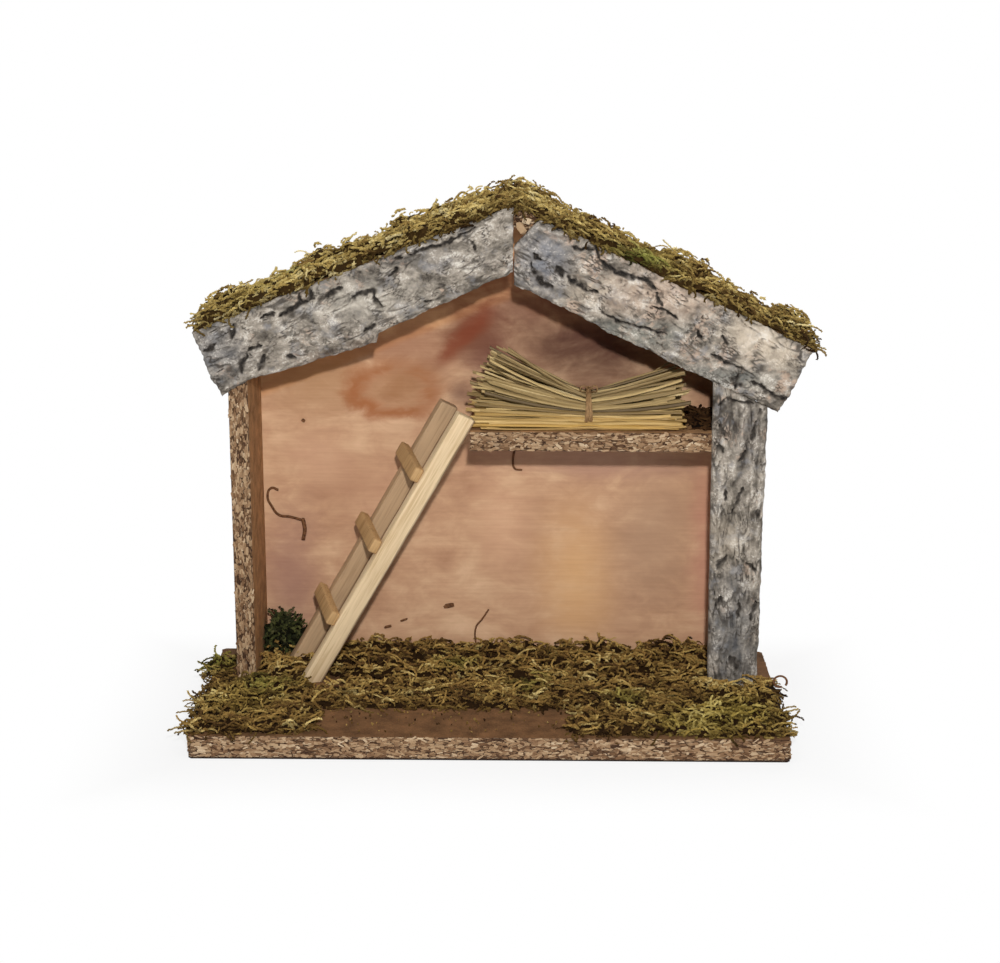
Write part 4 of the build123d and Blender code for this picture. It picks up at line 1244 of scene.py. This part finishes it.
def straw_tips(x, x_spread, height):
    """Where the straws end on one side, up to a height above the loft."""
    return np.c_[x + rng.normal(0, x_spread, straw_count),
                 28.0 + y_share * 15 + rng.normal(0, 1.2, straw_count),
                 loft_top + 1 + lift * height + rng.normal(0, 1.6, straw_count)]


left_tips, right_tips = straw_tips(-8 + 11 * lift ** 2, 3.0, 40), straw_tips(97, 2.2, 29)
for tips in (left_tips, right_tips):
    tips[:loose_count, 1:] = waist[:loose_count, 1:] + rng.normal(0, 0.8, (loose_count, 2))
    tips[:, 2] = np.maximum(tips[:, 2], lowest)
print("straws", straw_count, "of which loose in front", loose_count)

# %% Bend the straws from tip to tip
along = straw_points[:, 2]
out = np.abs(along)[None, :, None]
ends = np.where((along < 0)[None, :, None], left_tips[:, None], right_tips[:, None])
eased = np.concatenate([out, out ** 1.2, out ** 1.2], axis=2)
spine = waist[:, None] * (1 - eased) + ends * eased
spine[:, :, 1:] += rng.normal(0, 0.8, (straw_count, 1, 2)) * (out * (1 - out) * 4)
spine[:, :, 2] = np.maximum(spine[:, :, 2], lowest[:, None])
flat, spin = rng.uniform(0.7, 1.0, straw_count), rng.uniform(0, math.pi, straw_count)
wide, deep = straw_points[:, 0] * thick[:, None], straw_points[:, 1] * (thick * flat)[:, None]
c, s = np.cos(spin)[:, None], np.sin(spin)[:, None]
spine[:, :, 1] += wide * c - deep * s
spine[:, :, 2] += wide * s + deep * c
size = len(straw_points)
sheaf = new_piece(spine.reshape(-1, 3), copies(straw_faces, size, straw_count))
tone = rng.beta(2, 1.8, straw_count)
gold = np.clip(0.45 - lift, 0, 0.4) * 2.2 * rng.uniform(0.4, 1, straw_count)
# Points inside the hollow ends, which get painted shade.
hollow = (np.abs(along) > 0.95) & (np.hypot(straw_points[:, 0], straw_points[:, 1]) < 0.8)
tag_points(sheaf, tone=np.repeat(tone, size), gold=np.repeat(gold, size), hollow=np.tile(hollow, straw_count))
settle(outward(sheaf, smooth=50), "hay_sheaf", "straw", straw_material, "straw_sheaf")

# %% [markdown]
# ## Tie
# A strip of raffia goes twice round the sheaf and is knotted on top with two small loops. A torus gives
# a closed ring to start from: flattened to a band and laid on the waist's oval for the turns, squeezed
# into drops for the loops.

# %% Raffia tie
raffia = Finish("raffia", roughness=0.75, specular=0.2)
strands = raffia.cloud(1.0, scale=(3, 0.4, 0.4))
raffia_material = raffia.coat(raffia.ramp(strands, (0.3, (96, 70, 44)), (0.5, (140, 108, 72)),
                                          (0.72, (172, 140, 98))), strands, depth=0.3, strength=0.6)


def ring(major, minor, segments=48):
    """A torus round the x axis, as an object with points, and each point's angle round it."""
    clear()
    bpy.ops.mesh.primitive_torus_add(major_radius=major * MM, minor_radius=minor * MM,
                                     major_segments=segments, minor_segments=8, rotation=(0, math.pi / 2, 0))
    bpy.ops.object.transform_apply(location=True, rotation=True, scale=True)
    piece = bpy.context.object
    points = points_of(piece)
    return piece, points, np.arctan2(points[:, 2], points[:, 1])


def tie_turn(x, lean, seed):
    """One turn of the tie on the waist's oval."""
    piece, points, angle = ring(10, 0.9)
    away = np.hypot(points[:, 1], points[:, 2]) - 10
    c, s = np.cos(angle), np.sin(angle)
    uneven = 0.25 * wander(np.c_[c, s, angle * 0] * 8, 4.0, seed)
    y_reach, z_reach = 13.6 + away * 0.5 + uneven, 9.3 + away * 0.5 + uneven
    band = x + points[:, 0] * 1.15 + lean * s
    move_points(piece, np.c_[band, waist_y + y_reach * c, waist_z + 0.5 + z_reach * s])
    return piece


def tie_loop(y, z, turn, length):
    """One drop-shaped loop of the knot, standing up from the knot's middle."""
    piece, points, _ = ring(2.0, 0.42, 24)
    points[:, 1] *= 0.55 + 0.35 * (points[:, 2] > 0)
    points[:, 2] = (points[:, 2] + 2.0) * length / 4.4
    c, s = math.cos(turn), math.sin(turn)
    x = waist_x + s * points[:, 2] + c * points[:, 1]
    move_points(piece, np.c_[x, y + points[:, 0] * 1.8, z + c * points[:, 2] - s * points[:, 1]])
    return piece


tie = joined(tie_turn(49.3, 0.5, 1.0), tie_turn(50.9, -0.6, 2.0), tie_loop(23, 169.0, 1.15, 5.5),
             tie_loop(23, 169.0, -1.1, 5.0), tie_loop(23.5, 168.8, 0.2, 3.0))
settle(outward(tie, smooth=60), "raffia_tie", "raffia", raffia_material, "straw_tie")

# %% [markdown]
# ## Litter
# Handwork leaves bits behind: a bent twig and some specks stuck to the back, a strand under the loft, dark
# litter beside the sheaf, which also stands in for the shade there, crumbs on the bare patch of the base, a
# curled strand at its right edge and two chips in the notch at the ridge. A twig is a curve with a round
# section, turned into a mesh.

# %% Twigs and chips
def twig(points, radius):
    """A thin twig through some points in millimetres."""
    clear()
    curve = bpy.data.curves.new("twig", "CURVE")
    curve.dimensions, curve.resolution_u = "3D", 6
    curve.bevel_depth, curve.bevel_resolution, curve.use_fill_caps = radius * MM, 1, True
    spline = curve.splines.new("BEZIER")
    spline.bezier_points.add(len(points) - 1)
    for knot, point in zip(spline.bezier_points, points):
        knot.co = Vector(point) * MM
        knot.handle_left_type = knot.handle_right_type = "AUTO"
    piece = bpy.data.objects.new("twig", curve)
    bpy.context.scene.collection.objects.link(piece)
    piece.select_set(True)
    bpy.context.view_layer.objects.active = piece
    bpy.ops.object.convert(target="MESH")
    return piece


def chips(places, sizes, seed):
    """Loose flakes, each with its place and its three sizes."""
    rng = np.random.default_rng(seed)
    turns = spin_about(1, rng.uniform(-0.6, 0.6, len(places))) * np.array(sizes)[:, None, :]
    return lay(flakes, rng.integers(0, 3, len(places)), turns, np.array(places))[0]


dry = Finish("dry_twig", roughness=0.85, specular=0.2)
twig_grain = dry.cloud(1.2)
twig_material = dry.coat(dry.ramp(twig_grain, (0.3, (66, 40, 24)), (0.6, (118, 80, 52))), twig_grain)
hook = twig([(-117, 63.5, 104), (-121, 63.5, 105), (-123, 63.5, 100), (-121, 63.5, 95),
             (-117, 63, 90), (-111, 63, 89), (-104, 63, 87)], 0.7)
hook_end = twig([(-104, 63, 88), (-103, 63, 82), (-104, 63, 76)], 1.15)
strand = twig([(12, 63.5, 128), (11, 63, 121), (12, 63, 117), (16, 63.5, 116)], 0.55)
stalk = twig([(-9, 63, 14), (-9, 63, 26), (-6, 63, 30), (-2, 63.5, 36)], 0.5)
specks = chips([(-102.5, 63.7, 143), (-24, 63.6, 38), (-58, 63.7, 25.5), (-49, 63.7, 29.5)],
               [(2.0, 0.8, 1.8), (5.6, 1.0, 2.6), (4.0, 0.9, 1.6), (4.4, 0.8, 1.2)], 51)
panel_litter = outward(joined(hook, hook_end, strand, stalk, specks))
settle(panel_litter, "panel_litter", "moss_dark", twig_material)
angles = np.linspace(-0.6, 5.0, 12)
curl = np.c_[151.5 + 3.4 * np.cos(angles), -6 + 0.12 * np.arange(12), 20.5 + 3.2 * np.sin(angles)]
settle(twig(curl.tolist(), 0.6), "curled_strand", "moss_dark", twig_material)

# %% Loft litter and painted shade, crumbs and the chips at the ridge
# Dark moss on the loft beside the sheaf: a few real bits, and a dark clump that stands in for the shade
# between the sheaf and the wall.
litter_and_shade_moss = moss_finish("dark_litter_and_shade", (46, 29, 19), (76, 50, 33), (104, 73, 49), (134, 98, 67), (164, 128, 90))
loft_litter_and_shade = moss_mat(on_level(loft_top), (102, 124, 18, 63), 3.5, 200, 33, ragged=2.0,
                       low=(0, wall_front, loft_top), high=(*shed_high[:2], 170))
settle(loft_litter_and_shade, "loft_litter_and_shade", "moss_dark", litter_and_shade_moss)

rng = np.random.default_rng(52)
crumb_count = 110
crumb_places = np.c_[rng.uniform(-96, 44, crumb_count), base_front + 38 * rng.beta(2.2, 1.4, crumb_count),
                     np.full(crumb_count, base_top + 0.2)]
crumb_turns = spin_about(2, rng.uniform(0, 2 * math.pi, crumb_count)) * (1, 1, 0.6)
crumb_turns *= rng.uniform(0.25, 0.7, crumb_count)[:, None, None]
crumbs, owner, _ = lay(sprigs[1:2], np.zeros(crumb_count, int), crumb_turns, crumb_places)
tone, tip = rng.uniform(0, 0.8, crumb_count), rng.uniform(0.4, 0.8, crumb_count)
tag_points(crumbs, tone=tone[owner], tip=tip[owner], fresh=0.0, green=0.0)
settle(crumbs, "base_crumbs", "moss", floor_moss)

ridge_chips = chips([(14.7, 9.0, 255.6), (17.5, 9.5, 259.0)], [(3.4, 2.2, 6.5), (4.5, 2.0, 3.0)], 53)
tag_points(ridge_chips, tone=np.repeat((1.0, 0.75), len(ridge_chips.data.vertices) // 2))
settle(ridge_chips, "ridge_chip", "chipboard", flake_material)

# %% [markdown]
# ## Nails and staples
# All fasteners are plain wire. They keep their CAD shapes, and get a dull, slightly spotted steel.

# %% Steel finish
steel = Finish("wire_steel", roughness=0.45, specular=0.5)
steel.shader.inputs["Metallic"].default_value = 0.9
dirt = steel.cloud(1.6, detail=4.0)
steel_material = steel.coat(steel.ramp(dirt, (0.35, (120, 112, 104)), (0.6, (176, 172, 166))),
                            dirt, depth=0.05, strength=0.3)
fasteners = [name for name in nodes if name.endswith(("nails", "brads", "staples"))]
dress(steel_material, *fasteners)
print("steel on", len(fasteners), "groups")
